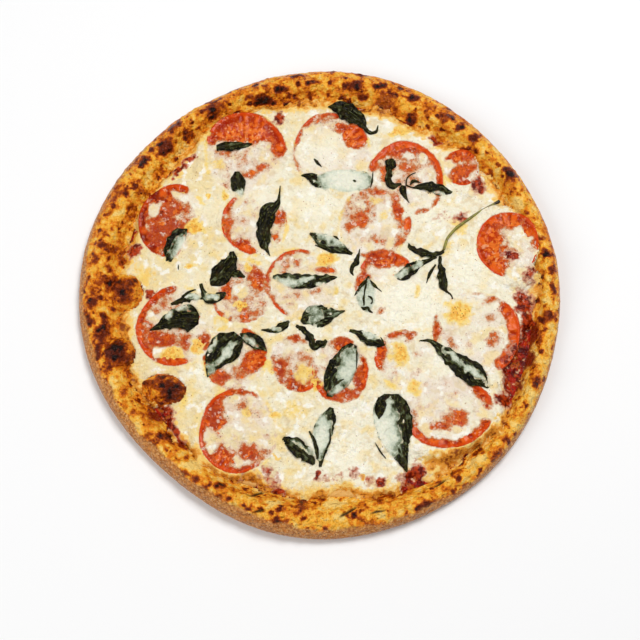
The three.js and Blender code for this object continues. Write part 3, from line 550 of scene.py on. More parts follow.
def warped(x, y, reach):
    """Places pushed about by noise, so that what is drawn there gets a ragged outline."""
    wide, narrow = WARP_CELLS
    dx, dy = (
        noise(x, y, z, wide, WARP_SEED) + 0.6 * noise(x, y, z, narrow, WARP_SEED + 1)
        for z in (0, 7)
    )
    return x + reach * dx, y + reach * dy


def patches(x, y, spots, level=TOPPING_LEVEL, reach=1.6, inner=0.55, outer=1.2, fade=None):
    """The strongest of some ragged ellipses at each place.
    A patch fades out over a share of its size, from inner to outer, or over a width in mm."""
    wx, wy = warped(x, y, reach)
    best = np.zeros(np.broadcast(x, y).shape)
    for u, v, half_width, half_height, *rest in spots:
        strength, turn = rest + [1, 0][len(rest) :]
        cx, cy = from_photo(u, v, level)
        along, across = turned(wx - cx, wy - cy, turn)
        away, low, high = np.hypot(along / (half_width * PIXEL), across / (half_height * PIXEL)), inner, outer
        if fade:
            away = (away - 1) * min(half_width, half_height) * PIXEL
            low, high = FADE_START * fade, FADE_END * fade
        best = np.maximum(best, strength * (1 - smooth(low, high, away)))
    return best


# ---- tomato slices


def slice_frame(number):
    """The middle of a slice's underside and its axes. A slice that reaches the rim leans against it."""
    x, y, radius_x, radius_y = SLICES[number]
    mean = (radius_x + radius_y) / 2
    away = math.hypot(x, y)
    lean = math.radians(max(0.0, away + mean - LEVEL_RADIUS) * LEAN_RATE)
    out = np.array((x / away, y / away, 0.0))
    upright = np.array((0.0, 0.0, 1.0))
    side = np.cross(upright, out)
    tilted_out = out * math.cos(lean) + upright * math.sin(lean)
    tilted_up = upright * math.cos(lean) - out * math.sin(lean)
    turn = np.outer(tilted_out, out) + np.outer(side, side) + np.outer(tilted_up, upright)
    return np.array((x, y, SLICE_BOTTOM + mean * math.sin(lean))), turn


def slice_wobble(angle, number):
    return 1 + 0.02 * np.cos(3 * angle + number) + 0.012 * np.cos(5 * angle + 2 * number)


def slice_reach(x, y, number):
    """How far out a place lies in a slice, from 0 to 1 at its edge, its angle, and the underside there."""
    middle, turn = slice_frame(number)
    radius_x, radius_y = SLICES[number][2:]
    normal = turn[:, 2]
    base = middle[2] - ((x - middle[0]) * normal[0] + (y - middle[1]) * normal[1]) / normal[2]
    offset = (x - middle[0], y - middle[1], base - middle[2])
    local_x, local_y = (sum(turn[k, axis] * offset[k] for k in range(3)) for axis in (0, 1))
    angle = np.arctan2(local_y / radius_y, local_x / radius_x)
    reach = np.hypot(local_x / radius_x, local_y / radius_y) / slice_wobble(angle, number)
    return reach, angle, base


SINK = 0.4  # of the flesh inside its skin, and of a seed chamber below that
LEAST_CHAMBERS = 4


def slice_relief(reach, angle, number):
    """Height of a slice's top over its underside: a ring of skin, shrunken flesh and soft seed chambers."""
    chambers = LEAST_CHAMBERS + number % 3
    lobe = np.cos(chambers * angle + number * 1.7)
    core = smooth(0.12, 0.3, reach) * (1 - smooth(0.62, 0.78, reach))
    return SLICE_THICKNESS - (SINK * smooth(0.99, 0.9, reach) + SINK * core * smooth(-0.2, 0.6, lobe))


# ---- fields over a grid of the toppings

PITCH = 0.88
HALF_CELLS = 158
AXIS = (np.arange(2 * HALF_CELLS + 1) - HALF_CELLS) * PITCH
GX, GY = np.meshgrid(AXIS, AXIS, indexing="ij")


def blurred(field, width):
    """The field smoothed over a width in mm."""
    steps = np.fft.fftfreq(field.shape[0], PITCH)
    damp = np.exp(-2 * (math.pi * steps * width) ** 2)
    return np.real(np.fft.ifft2(np.fft.fft2(field) * damp[:, None] * damp[None, :]))


def spread(field):
    """The highest value of each grid point and those beside it."""
    wide = np.pad(field, 1, mode="edge")
    size = field.shape[0]
    return np.maximum.reduce([wide[i : i + size, j : j + size] for i, j in np.ndindex(3, 3)])


def sample(field, x, y):
    """The field between its grid points."""
    gx, gy = (np.clip((np.asarray(a) / PITCH) + HALF_CELLS, 0, 2 * HALF_CELLS - 0.001) for a in (x, y))
    ix, iy = np.floor(gx).astype(int), np.floor(gy).astype(int)
    fx, fy = gx - ix, gy - iy
    low = blend(field[ix, iy], field[ix, iy + 1], fy)
    high = blend(field[ix + 1, iy], field[ix + 1, iy + 1], fy)
    return blend(low, high, fx)


def slice_fields():
    """Which slice lies on top at each grid point, or -1, and how high its top is."""
    owner = np.full(GX.shape, -1)
    top = np.full(GX.shape, NOWHERE)
    for number in reversed(range(len(SLICES))):
        reach, angle, base = slice_reach(GX, GY, number)
        inside = reach < 1
        owner[inside] = number
        top[inside] = (base + slice_relief(reach, angle, number))[inside]
    return owner, top


SLICE_OWNER, SLICE_TOP = slice_fields()
ON_SLICE = SLICE_OWNER >= 0


ARC_FADE = (1.2, 2.8)  # how far inside and outside its given width an arc fades out
ARC_ENDS = 0.12  # in radians


def arc_field():
    """1 where the skin of a slice shows as an arc through or beside the cheese."""
    best = np.zeros(GX.shape)
    for count, start, end, width, bare in ARCS:
        number, seed = count - 1, 70 + count
        middle, half = math.radians((start + end) / 2), math.radians((end - start) / 2)
        reach, angle, _ = slice_reach(GX, GY, number)
        inward = (1 - reach) * ((SLICES[number][2] + SLICES[number][3]) / 2)
        ragged = 1.1 * noise(GX, GY, 0, 3.4, seed) + 0.6 * noise(GX, GY, 4, 1.8, seed)
        band = 1 - smooth(width * PIXEL - ARC_FADE[0], width * PIXEL + ARC_FADE[1], inward + ragged)
        band = band * np.clip(bare * (1 + 0.6 * noise(GX, GY, 9, 5, 90)), 0, 1) * (inward > -0.4)
        off_middle = np.abs(angle_apart(angle, middle))
        band = band * (1 - smooth(half - ARC_ENDS, half + ARC_ENDS, off_middle))
        best = np.maximum(best, band * ((SLICE_OWNER == number) | ~ON_SLICE))
    return best


def seam_field():
    """1 where the edge of one slice lies on another, which a bead of cheese covers."""
    beside = [np.roll(SLICE_OWNER, step, axis) for step in (1, -1) for axis in (0, 1)]
    edges = np.maximum.reduce([ON_SLICE & (owner >= 0) & (owner != SLICE_OWNER) for owner in beside])
    return np.clip(1.6 * blurred(edges.astype(float), 0.9), 0, 1)


def film_field():
    """How thick the cheese lies on the leaves, with a frayed edge."""
    film = patches(GX, GY, FILMS, inner=0.3, outer=1.4)
    frayed = 0.35 * noise(GX, GY, 0, 3.2, 35) + 0.3 * noise(GX, GY, 0, 1.9, 36)
    film = film + frayed * smooth(0.0, 0.25, film) * np.clip(1.15 - film, 0.15, 1)
    return np.maximum(film, 0)


FILM_MEAN = 0.64  # thickness of the cheese on a slice
FILM_LOSS = 1.15  # by how much it is thinner where a slice lies bare
EXPOSED_FADE = 6.0  # the width over which such a bare patch ends


def film_thickness():
    """How thick the cheese lies on the slices. Below 0 there is none."""
    thin = np.clip(EXPOSURE - 1.1 * patches(GX, GY, ISLANDS, inner=0.6), 0, 1)
    broken = 0.42 * noise(GX, GY, 0, 4.6, 26) + 0.22 * noise(GX, GY, 0, 2.2, 27)
    broken = broken + 0.3 * rough(GX, GY, 0, 8, 24)
    return FILM_MEAN - FILM_LOSS * thin + broken * (0.2 + 1.3 * thin * (1 - thin))


EXPOSURE = np.maximum(patches(GX, GY, EXPOSED, fade=EXPOSED_FADE), arc_field())
EXPOSURE = EXPOSURE * (1 - 0.3 * seam_field())
FILM_FIELD = film_field()
FILM_THICKNESS = film_thickness()
BARE_AT = 0.9  # exposure from which a slice has no cheese on it
THINNEST = 0.12

GRID_ANGLE, GRID_RADIUS = polar(GX, GY)
DOME_FIELD = dome_height(GX, GY)
SAUCE_FIELD = np.where(GRID_RADIUS < sauce_edge(GRID_ANGLE), sauce_top(GX, GY), NOWHERE)
UNDER_BULK = np.maximum(dough_top(GX, GY), SAUCE_FIELD)
UNDER_CHEESE = np.maximum(UNDER_BULK, SLICE_TOP)
BULK_TOP = CHEESE_TOP + cheese_swell(GX, GY)
REST_FIELD = blurred(spread(np.maximum(BULK_TOP, SLICE_TOP)), 1.2)  # what the leaves lie on


# ---- the shapes of the leaves


class Blade:
    """A strip along a curve, as a height over its own length and width."""

    STEP = 0.6  # distance between its cross sections
    COLUMN = 0.55  # and between the points of one
    LEAST_HALF = 0.12
    NOTCH = 0.85  # how far its edge goes in and out
    FLAT_HALF = 3.6  # half width from which it lies flat, and below which it is rolled up
    ROLLED_HALF = 1.6
    MEAN_LIFT = 0.4
    LEAST_LIFT = 0.35
    SIDE_CURL = 0.75
    ROLL = 0.85
    FOLD = 0.6
    RIB_DEPTH = 0.25
    RIB_HALF = 0.7

    def __init__(self, stations, number, on_film=False):
        places = np.array([(*from_photo(u, v), half * PIXEL) for u, v, half in stations])
        reached = np.r_[0, np.cumsum(np.hypot(*np.diff(places[:, :2], axis=0).T))]
        count = max(8, int(reached[-1] / self.STEP))
        slope = np.gradient(places, reached, axis=0)
        fine = np.linspace(0, reached[-1], count)
        left = np.clip(np.searchsorted(reached, fine, side="right") - 1, 0, len(reached) - 2)
        span = (reached[left + 1] - reached[left])[:, None]
        t = (fine - reached[left])[:, None] / span
        rows = places[left] * (2 * t**3 - 3 * t**2 + 1) + slope[left] * span * (t**3 - 2 * t**2 + t)
        rows += places[left + 1] * (3 * t**2 - 2 * t**3) + slope[left + 1] * span * (t**3 - t**2)
        self.middle, self.half = rows[:, :2], np.maximum(rows[:, 2], self.LEAST_HALF)
        heading = np.gradient(self.middle, axis=0)
        heading /= np.linalg.norm(heading, axis=1, keepdims=True)
        self.across = np.stack([-heading[:, 1], heading[:, 0]], axis=-1)
        self.length, self.count = reached[-1], count
        self.number, self.on_film = number, on_film

    def grid(self):
        """Shares of the length and of the width, and the x and y there."""
        columns = int(np.clip(2 * self.half.max() / self.COLUMN, 3, 40)) | 1
        side = np.linspace(-1, 1, columns)[None, :] + np.zeros((self.count, 1))
        share = np.linspace(0, 1, self.count)[:, None] + np.zeros((1, columns))
        half = self.half[:, None]
        notch = noise(share * self.length, side * 2, self.number * 5.0, 2.3, 30) * np.abs(side) ** 3
        off = side * half + self.NOTCH * notch * np.minimum(half / 2.5, 1)
        return share, side, *(self.middle[:, k, None] + self.across[:, k, None] * off for k in (0, 1))

    def half_width(self, share):
        return np.interp(share, np.linspace(0, 1, self.count), self.half)

    def lift(self, share, side, film):
        """Height over what the leaf lies on. Narrow parts are rolled, wide ones curl up at the sides."""
        half = self.half_width(share)
        body = np.sin(math.pi * np.clip(share, 0.02, 0.98)) ** 0.5
        rolled = smooth(self.FLAT_HALF, self.ROLLED_HALF, half)
        along, across = share * self.length, side * half
        folds = noise(along / 3.2, across, self.number * 9.0, 1.35, 31)
        folds = folds + 0.5 * noise(along, across, 3.0, 2.4, 32)
        curl = self.SIDE_CURL * np.abs(side) ** 1.7 * (1 - rolled) + self.ROLL * (1 - side**2) * rolled
        rib = -self.RIB_DEPTH * np.exp(-((across / self.RIB_HALF) ** 2)) * (1 - rolled)
        lift = np.maximum(self.MEAN_LIFT + (curl + self.FOLD * folds) * body + rib, self.LEAST_LIFT)
        return lift * (1 - PRESSED * np.minimum(film, 1))

    def top(self):
        """The grid points near the blade, which of them it covers, and its height there."""
        low, high = self.middle.min(axis=0) - self.half.max(), self.middle.max(axis=0) + self.half.max()
        near = (GX > low[0]) & (GX < high[0]) & (GY > low[1]) & (GY < high[1])
        x, y = GX[near], GY[near]
        apart = np.hypot(x[:, None] - self.middle[None, :, 0], y[:, None] - self.middle[None, :, 1])
        row = apart.argmin(axis=1)
        offset = np.stack([x, y], axis=-1) - self.middle[row]
        side = (offset * self.across[row]).sum(axis=1) / self.half[row]
        along = np.abs(offset[:, 0] * self.across[row, 1] - offset[:, 1] * self.across[row, 0])
        lift = self.lift(row / (self.count - 1), side, FILM_FIELD[near])
        return near, (np.abs(side) < 1) & (along < self.STEP), REST_FIELD[near] + lift + LEAF_THICKNESS / 2


def blades_of(entries, number, on_film=False):
    return [Blade(stations, number, on_film) for owner, *stations in entries if owner == number + 1]


LEAF_COUNT = LEAVES[-1][0]
BLADES = [blades_of(LEAVES, number) for number in range(LEAF_COUNT)]


def leaf_field():
    top = np.full(GX.shape, NOWHERE)
    for blade in sum(BLADES, []):
        near, inside, height = blade.top()
        there = top[near]
        there[inside] = np.maximum(there, height)[inside]
        top[near] = there
    return top


LEAF_TOP = leaf_field()
ON_LEAF = LEAF_TOP > 0

EDGE_WIDTH = 5.0  # over which the cheese thins down to its edge
WELL_INSIDE = 0.3  # a share of that width
DRAPE_STEPS = 7  # how many grid points round a slice the cheese slopes down from it
DRAPE_SLOPE = 0.2  # the drop from one to the next
THICKEST_FILM = 0.8
OVER_LEAF = 0.28
UNDER_LEAF = 0.7
UNDER_DOME = 1.0


def cheese_fields():
    """The top of the cheese, how thick it lies at each grid point, and its edge as a radius."""
    lumps = 0.45 * rough(GX, GY, 0, 8, 21) + 0.30 * rough(GX, GY, 3, 3.2, 22)
    edge = cheese_edge(GRID_ANGLE) + 2.2 * rough(GX, GY, 0, 6, 23)
    edge = edge + 1.3 * noise(GX, GY, 0, 2.4, 37) + 2.5 * noise(GX, GY, 0, 14, 38)
    inside = np.clip((edge - GRID_RADIUS) / EDGE_WIDTH, -1, 1)
    below = np.maximum(UNDER_BULK, 0)
    bulk = np.maximum(BULK_TOP + lumps, below + 0.5) - below
    bulk = below + bulk * np.sign(inside) * np.sqrt(np.abs(inside))

    film = np.where(EXPOSURE > BARE_AT, -0.5, np.clip(FILM_THICKNESS, THINNEST, THICKEST_FILM)) + 0.06 * lumps
    draped = SLICE_TOP + 0.4
    for _ in range(DRAPE_STEPS):
        draped = np.maximum(draped, spread(draped) - DRAPE_SLOPE)
    full = inside > WELL_INSIDE
    top = np.where(ON_SLICE, SLICE_TOP + film, np.where(full, np.maximum(bulk, draped), bulk))
    covered = np.where(ON_SLICE, smooth(0.1, 0.5, FILM_THICKNESS), 1.0) * full
    soft = blurred(np.maximum(top, UNDER_CHEESE - 0.3), 1.7) + 0.22 * rough(GX, GY, 8, 3.0, 28)
    top = blend(top, np.maximum(soft, UNDER_CHEESE + THINNEST), covered)

    run_over = np.maximum(top, LEAF_TOP + OVER_LEAF + 0.15 * rough(GX, GY, 0, 3, 29))
    sunk = np.minimum(top, LEAF_TOP - UNDER_LEAF)
    top = np.where(ON_LEAF, blend(sunk, run_over, smooth(0.35, 0.6, FILM_FIELD)), top)
    top = np.where(DOME_FIELD > BULK_TOP + 0.6 * lumps - 0.9, DOME_FIELD - UNDER_DOME, top)
    support = np.where(ON_LEAF & (FILM_FIELD > 0.5), LEAF_TOP, UNDER_CHEESE)
    return top, top - support, edge


CHEESE_SURFACE, CHEESE_DEPTH, CHEESE_EDGE = cheese_fields()

# ---- mesh making


def link(data, name):
    """A new object of the scene that holds the data."""
    thing = bpy.data.objects.new(name, data)
    bpy.context.scene.collection.objects.link(thing)
    return thing


def mesh_piece(name, points, faces, values):
    """A piece from points in mm, faces and named values at the points."""
    mesh = bpy.data.meshes.new(name)
    mesh.from_pydata((np.asarray(points) * MM).tolist(), [], faces)
    mesh.update()
    for key, data in values.items():
        attribute = mesh.attributes.new(key, "FLOAT", "POINT")
        attribute.data.foreach_set("value", np.asarray(data, dtype=np.float32).ravel())
    mesh.shade_smooth()
    return link(mesh, name)


def finish_piece(piece, material, slot, *nodes):
    piece.data.materials.append(material)
    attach(piece, "root")
    if nodes:
        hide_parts(*nodes)


def ring_faces(rings, steps):
    """Quads between closed rings of points, and a cap at each end."""
    ring = np.arange(rings - 1)[:, None] * steps
    step = np.arange(steps)[None, :] + 0 * ring
    after = (step + 1) % steps
    corners = np.stack([ring + step, ring + after, ring + steps + after, ring + steps + step], axis=-1)
    caps = [list(range(steps))[::-1], [(rings - 1) * steps + k for k in range(steps)]]
    return corners.reshape(-1, 4).tolist() + caps


# ---- material helpers


def srgb(red, green, blue):
    """A colour given as on a screen, 0 to 255, made linear."""
    linear = [((c / 255 + 0.055) / 1.055) ** 2.4 if c > 10 else c / 255 / 12.92 for c in (red, green, blue)]
    return (*linear, 1.0)


class Shader:
    """A material whose nodes are made by short calls."""

    def __init__(self, name):
        self.material = bpy.data.materials.new(name)
        self.material.use_nodes = True
        self.tree = self.material.node_tree
        self.tree.nodes.clear()
        self.skin = self.node("BsdfPrincipled")
        self.node("OutputMaterial", Surface=self.skin.outputs["BSDF"])
        self.place = self.node("TexCoord").outputs["Object"]

    def node(self, kind, **inputs):
        node = self.tree.nodes.new("ShaderNode" + kind)
        self.feed(node, **inputs)
        return node

    def feed(self, node, **inputs):
        """Gives inputs of a node a value, a link or a colour. A _ in a name stands for a space."""
        for name, value in inputs.items():
            self.put(node.inputs[name.replace("_", " ")], value)

    def put(self, socket, value):
        if isinstance(value, bpy.types.NodeSocket):
            self.tree.links.new(value, socket)
        elif socket.type == "RGBA":
            socket.default_value = srgb(*value)
        else:
            socket.default_value = value

    def value(self, name):
        node = self.node("Attribute")
        node.attribute_name = name
        return node.outputs["Fac"]

    def math(self, operation, a, b=0.0):
        node = self.node("Math")
        node.operation = operation
        self.put(node.inputs[0], a)
        self.put(node.inputs[1], b)
        return node.outputs[0]

    def times(self, first, *others):
        for other in others:
            first = self.math("MULTIPLY", first, other)
        return first

    def noise(self, cell, detail=3.0, rough_share=0.55):
        """Noise from 0 to 1 whose bumps are about a cell of mm wide."""
        scale = 1 / (cell * MM)
        node = self.node("TexNoise", Vector=self.place, Scale=scale, Detail=detail, Roughness=rough_share)
        return node.outputs["Fac"]

    def cells(self, cell):
        """The distance from the nearest of many points that lie about a cell of mm apart."""
        return self.node("TexVoronoi", Vector=self.place, Scale=1 / (cell * MM)).outputs["Distance"]

    def ramp(self, value, low, high, out_low=0.0, out_high=1.0):
        """A smooth rise as the value goes from low to high."""
        node = self.node("MapRange", Value=value, From_Min=low, From_Max=high)
        node.interpolation_type = "SMOOTHSTEP"
        self.feed(node, To_Min=out_low, To_Max=out_high)
        return node.outputs["Result"]

    def ragged(self, name, cell, amount, full=0.25):
        """A value at the points with noise added where it isn't 0, so that its edges break up."""
        value = self.value(name)
        offset = self.times(self.math("SUBTRACT", self.noise(cell, 4, 0.6), 0.5), amount)
        return self.math("ADD", value, self.times(offset, self.ramp(value, 0.02, full)))

    def waver(self, value, *layers):
        """A value with noise added: a cell and an amount for each layer."""
        for cell, amount in layers:
            offset = self.times(self.math("SUBTRACT", self.noise(cell, 3), 0.5), amount)
            value = self.math("ADD", value, offset)
        return value

    def mix(self, share, a, b):
        node = self.tree.nodes.new("ShaderNodeMix")
        node.data_type = "RGBA"
        self.feed(node, Factor=share, A=a, B=b)
        return node.outputs["Result"]

    def layers(self, colour, *layers):
        """A colour with others laid over it. A layer is a share and a colour, or else a value, where it
        starts and where it is full, a colour, and perhaps a highest share."""
        for layer in layers:
            if len(layer) == 2:
                share, over = layer
            else:
                value, start, full, over, *most = layer
                share = self.ramp(value, start, full, 0, *most)
            colour = self.mix(share, colour, over)
        return colour

    def bump(self, height, strength, distance):
        """Relief over what relief there is, with a height in mm."""
        node = self.node("Bump", Strength=strength, Distance=distance * MM, Height=height)
        if self.skin.inputs["Normal"].is_linked:
            self.put(node.inputs["Normal"], self.skin.inputs["Normal"].links[0].from_socket)
        self.put(self.skin.inputs["Normal"], node.outputs["Normal"])

    def finish(self, colour, roughness, specular):
        """Sets the skin's colour and shine. A roughness that varies is a cell, the lowest and the highest."""
        if isinstance(roughness, tuple):
            cell, low, high = roughness
            roughness = self.ramp(self.noise(cell), 0.3, 0.7, low, high)
        self.feed(self.skin, Base_Color=colour, Roughness=roughness, Specular_IOR_Level=specular)
        return self.material


# ---- materials


def crust_material():
    """Pale, golden, brown or black by how baked it is, with stains, flour below and painted shade in the
    creases.
    """
    s = Shader("baked_dough")
    cheesy = s.ragged("cheesy", 2.6, 2.0)
    bake = s.waver(s.value("bake"), (9.0, 0.8), (4.0, 0.95), (1.8, 0.35))
    blisters = s.ramp(s.waver(s.cells(6.2), (2.4, 0.5), (1.1, 0.25)), 0.46, 0.12)
    bake = s.math("ADD", bake, s.times(blisters, s.ramp(s.noise(9, 2), 0.40, 0.56, 0, 0.5)))
    freckles = s.ramp(s.waver(s.cells(2.8), (1.2, 0.4)), 0.32, 0.12)
    bake = s.math("ADD", bake, s.times(freckles, s.ramp(s.noise(6, 2), 0.44, 0.58, 0, 0.22)))
    bake = s.math("SUBTRACT", bake, s.ramp(cheesy, 0.35, 0.9, 0, 0.2))
    stain = s.ragged("stain", 3.0, 1.8, 0.3)
    floury = s.layers(
        (224, 158, 88),
        (s.noise(1.8, 4), 0.36, 0.64, (172, 100, 42)),
        (s.noise(5.0, 3), 0.46, 0.64, (206, 128, 56), 0.7),
        (s.cells(1.4), 0.34, 0.14, (236, 194, 138), 0.8),
    )
    flour = s.waver(s.value("flour"), (4.0, 0.7), (1.6, 0.4))
    flour = s.times(s.ramp(flour, 0.25, 0.8), s.ramp(s.value("flour"), 0.02, 0.2))
    colour = s.layers(
        (253, 212, 120),
        (bake, 0.06, 0.28, (251, 182, 58)),
        (bake, 0.28, 0.46, (230, 128, 22)),
        (bake, 0.46, 0.62, (160, 66, 6)),
        (bake, 0.62, 0.82, (100, 32, 6)),
        (bake, 0.88, 1.12, (30, 10, 6)),
        (stain, 0.12, 0.4, (196, 100, 20), 0.7),
        (stain, 0.35, 0.75, (124, 22, 6), 0.9),
        (flour, floury),
        # painted shade inside the open creases
        (s.value("shaded_crease"), (74, 48, 16)),
    )
    s.bump(s.noise(1.9, 3, 0.55), 1.0, 1.7)
    s.bump(s.noise(4.2, 3), 1.0, 3.6)
    return s.finish(colour, (3.0, 0.12, 0.34), 0.15)


def sauce_material():
    """Dark red pulp with lighter bits and oil, and cheese that has run over it."""
    s = Shader("tomato_sauce")
    colour = s.layers(
        (84, 6, 2),
        (s.noise(3.6, 4), 0.40, 0.60, (170, 28, 4)),
        (s.waver(s.cells(4.0), (1.5, 0.4)), 0.34, 0.20, (206, 66, 12), 0.8),
        (s.noise(5.0, 4), 0.52, 0.62, (176, 88, 20), 0.9),
        (s.noise(1.8, 4), 0.56, 0.66, (40, 6, 2), 0.85),
        (s.noise(2.6, 3), 0.60, 0.68, (228, 184, 140), 0.85),
        (s.ragged("cheesy", 2.4, 1.2), 0.2, 0.7, (224, 172, 96)),
    )
    s.bump(s.noise(1.6, 4), 0.9, 0.9)
    s.bump(s.noise(3.6, 3), 1.0, 2.0)
    return s.finish(colour, (2.2, 0.08, 0.2), 0.15)


def tomato_flesh(s):
    return s.layers(
        (168, 44, 2),
        (s.noise(4.2, 3), 0.38, 0.60, (216, 90, 12)),
        (s.noise(6.0, 3), 0.42, 0.62, (196, 60, 4), 0.5),
        (s.noise(2.8, 2), 0.58, 0.70, (236, 120, 42), 0.6),
        (s.noise(4.6, 2), 0.45, 0.28, (132, 24, 2), 0.75),
    )


def cheese_material():
    """Creamy cheese that shows what lies under it where it is thin, gold and browned in places."""
    s = Shader("melted_mozzarella")
    pink = s.waver(s.value("pink"), (6.0, 1.2), (2.4, 0.4))
    red = s.waver(s.value("red_below"), (1.3, 0.4), (3.0, 0.8))
    red = s.times(red, s.ramp(s.value("red_below"), 0.03, 0.2))
    toast = s.times(s.waver(s.value("toast"), (2.4, 0.9), (1.0, 0.5)), s.ramp(red, 0.35, 0.7))
    curds = s.ramp(s.waver(s.cells(3.6), (2.0, 0.8), (1.1, 0.5)), 0.42, 0.26)
    curds = s.times(curds, s.ramp(s.noise(5.0, 3), 0.44, 0.56), s.ramp(red, 0.25, 0.5, 0, 0.7))
    curds = s.times(curds, s.ramp(red, 1.05, 0.8))
    fat = s.math("ABSOLUTE", s.math("SUBTRACT", s.noise(2.6, 4, 0.55), 0.5))
    fat = s.times(s.ramp(fat, 0.022, 0.004, 0, 0.75), s.ramp(red, 0.12, 0.4))
    seared = s.times(s.ramp(s.cells(2.1), 0.26, 0.12), s.ramp(s.noise(5, 2), 0.43, 0.55))
    seared = s.times(seared, s.ramp(red, 0.08, 0.35, 0, 0.8))
    gold = s.ragged("gold", 2.6, 0.8, 0.3)
    baked = s.layers((236, 160, 34), (s.noise(2.0, 3), 0.40, 0.60, (250, 208, 96)))
    dots = s.times(s.ramp(s.cells(1.9), 0.26, 0.12), s.ramp(gold, 0.35, 0.8))
    specks = s.times(s.ramp(s.cells(2.8), 0.15, 0.08), s.ramp(s.noise(7, 2), 0.47, 0.60, 0, 0.8))
    herbs = s.times(s.ramp(s.cells(5.0), 0.08, 0.05), s.ramp(s.noise(9, 2), 0.54, 0.60))
    brown = s.waver(s.value("rim_brown"), (6.0, 0.9), (2.8, 0.9), (1.2, 0.3))
    brown = s.times(brown, s.ramp(s.value("rim_brown"), 0.05, 0.3))
    stain = s.ragged("stain", 2.6, 1.6, 0.3)
    sauce = s.layers((96, 12, 2), (s.noise(3.0, 3), 0.40, 0.60, (180, 60, 16)))
    veil = s.waver(s.value("veil"), (3.0, 0.7), (1.3, 0.5))
    over_leaf = s.layers(
        veiled(s, (26, 24, 10), veil),
        (veil, 0.80, 1.15, (218, 221, 200)),
        (veil, 1.15, 1.5, (240, 237, 217), 0.8),
    )
    colour = s.layers(
        (241, 233, 207),
        (s.waver(s.value("warm"), (9, 1.9)), 0.2, 1.0, (238, 218, 166)),
        (pink, 0.10, 0.75, (233, 216, 200), 0.8),
        (s.noise(9.0, 2), 0.48, 0.66, (242, 212, 136), 0.6),
        # painted shade: darker beige patches among the lumps, the wide ones partly also greyer, thinner
        # cheese
        (s.noise(7.0, 2), 0.46, 0.30, (222, 200, 158), 0.65),
        (s.noise(3.2, 2), 0.40, 0.28, (206, 176, 130), 0.4),
        # painted highlight: whiter patches on the cheese, partly also whiter cheese
        (s.noise(6.0, 2), 0.54, 0.68, (251, 247, 234), 0.85),
        (s.waver(s.value("smooth"), (5.0, 0.3)), (249, 244, 222)),
        (red, 0.06, 0.30, (224, 194, 166), 0.8),
        (red, 0.28, 0.46, (206, 138, 88)),
        (red, 0.43, 0.60, (204, 90, 26)),
        (red, 0.57, 0.78, tomato_flesh(s)),
        (toast, 0.20, 0.95, (158, 44, 10), 0.5),
        (curds, (238, 214, 192)),
        (fat, (150, 56, 20)),
        (seared, (100, 36, 12)),
        (gold, 0.10, 0.50, (246, 212, 112), 0.85),
        (gold, 0.45, 0.80, baked, 0.8),
        (dots, (166, 90, 20)),
        (specks, (158, 88, 34)),
        (herbs, (60, 52, 22)),
        (brown, 0.25, 0.60, (244, 202, 104), 0.9),
        (brown, 0.66, 0.92, (224, 148, 48)),
        (brown, 0.96, 1.2, (140, 66, 16)),
        (stain, 0.10, 0.45, (204, 146, 118), 0.8),
        (stain, 0.38, 0.75, sauce),
        (s.waver(s.value("leaf_below"), (2.0, 0.5)), 0.2, 0.8, over_leaf),
    )
    s.feed(s.skin, Subsurface_Weight=0.1, Subsurface_Radius=(1.0, 0.7, 0.4), Subsurface_Scale=0.8 * MM)
    s.bump(s.noise(1.8, 3, 0.5), 0.7, 1.0)
    s.bump(s.noise(4.2, 3), 0.9, 2.8)
    return s.finish(colour, (4, 0.1, 0.26), 0.18)


def tomato_material():
    """Flesh in a ring of skin, with streaks, seeds, glints and singed places."""
    s = Shader("roast_tomato")
    reach, streak = s.value("reach"), s.value("streak")
    flesh = s.layers(
        tomato_flesh(s),
        (streak, 0.50, 0.76, (230, 98, 26), 0.8),
        (streak, 0.46, 0.22, (146, 22, 2), 0.8),
    )
    seeds = s.times(s.ramp(s.cells(2.8), 0.26, 0.13), s.ramp(reach, 0.76, 0.64), 0.6)
    colour = s.layers(
        (180, 50, 6),
        (s.noise(2.6, 3), 0.40, 0.58, (228, 112, 38)),
        (reach, 0.70, 0.82, flesh),
        (reach, 0.88, 0.95, (206, 64, 8), 0.85),
        (seeds, (238, 168, 78)),
        # painted glints: small pale orange spots on the flesh
        (s.noise(1.1, 3), 0.58, 0.70, (240, 150, 84), 0.3),
        # pale specks, partly crumbs of cheese and partly painted highlights
        (s.noise(3.4, 4), 0.60, 0.68, (236, 178, 136), 0.55),
        (s.ragged("toast", 2.0, 0.6), 0.25, 0.9, (112, 14, 2), 0.9),
    )
    s.bump(s.noise(2.6, 2), 0.6, 0.7)
    s.bump(streak, 0.9, 0.9)
    return s.finish(colour, (1.8, 0.08, 0.2), 0.1)


def veiled(s, leaf, veil):
    """The colour of a leaf under a film of cheese that is thin enough to show it."""
    return s.layers(
        leaf,
        (veil, 0.16, 0.40, (70, 76, 46)),
        (veil, 0.34, 0.62, (128, 138, 112)),
        (veil, 0.58, 0.92, (192, 199, 178)),
    )


def basil_material():
    """Nearly black green with lighter ribs, painted highlights on the folds, and a veil of cheese."""
    s = Shader("wilted_basil")
    streak = s.value("streak")
    leaf = s.layers(
        (9, 7, 2),
        (s.noise(4.5, 4), 0.35, 0.65, (26, 24, 8)),
        # painted highlights: light green speckles
        (s.noise(1.6, 3), 0.58, 0.68, (88, 86, 36)),
        (s.noise(5.0, 3), 0.54, 0.68, (44, 44, 14), 0.6),
        (s.noise(6.0, 3), 0.44, 0.32, (48, 28, 8), 0.5),
        (s.value("rib"), 0.3, 0.9, (66, 62, 22), 0.3),
        # painted highlights on the ridges of the folds, the palest of them as glints
        (streak, 0.62, 0.80, (62, 62, 24), 0.6),
        (streak, 0.82, 0.93, (144, 150, 116), 0.6),
    )
    veil = s.math("ADD", s.value("veil"), s.times(s.math("SUBTRACT", streak, 0.5), 0.7))
    s.bump(s.noise(1.3, 3), 0.9, 0.8)
    s.bump(streak, 1.0, 1.3)
    return s.finish(veiled(s, leaf, s.waver(veil, (1.5, 0.7))), (2, 0.06, 0.16), 0.1)


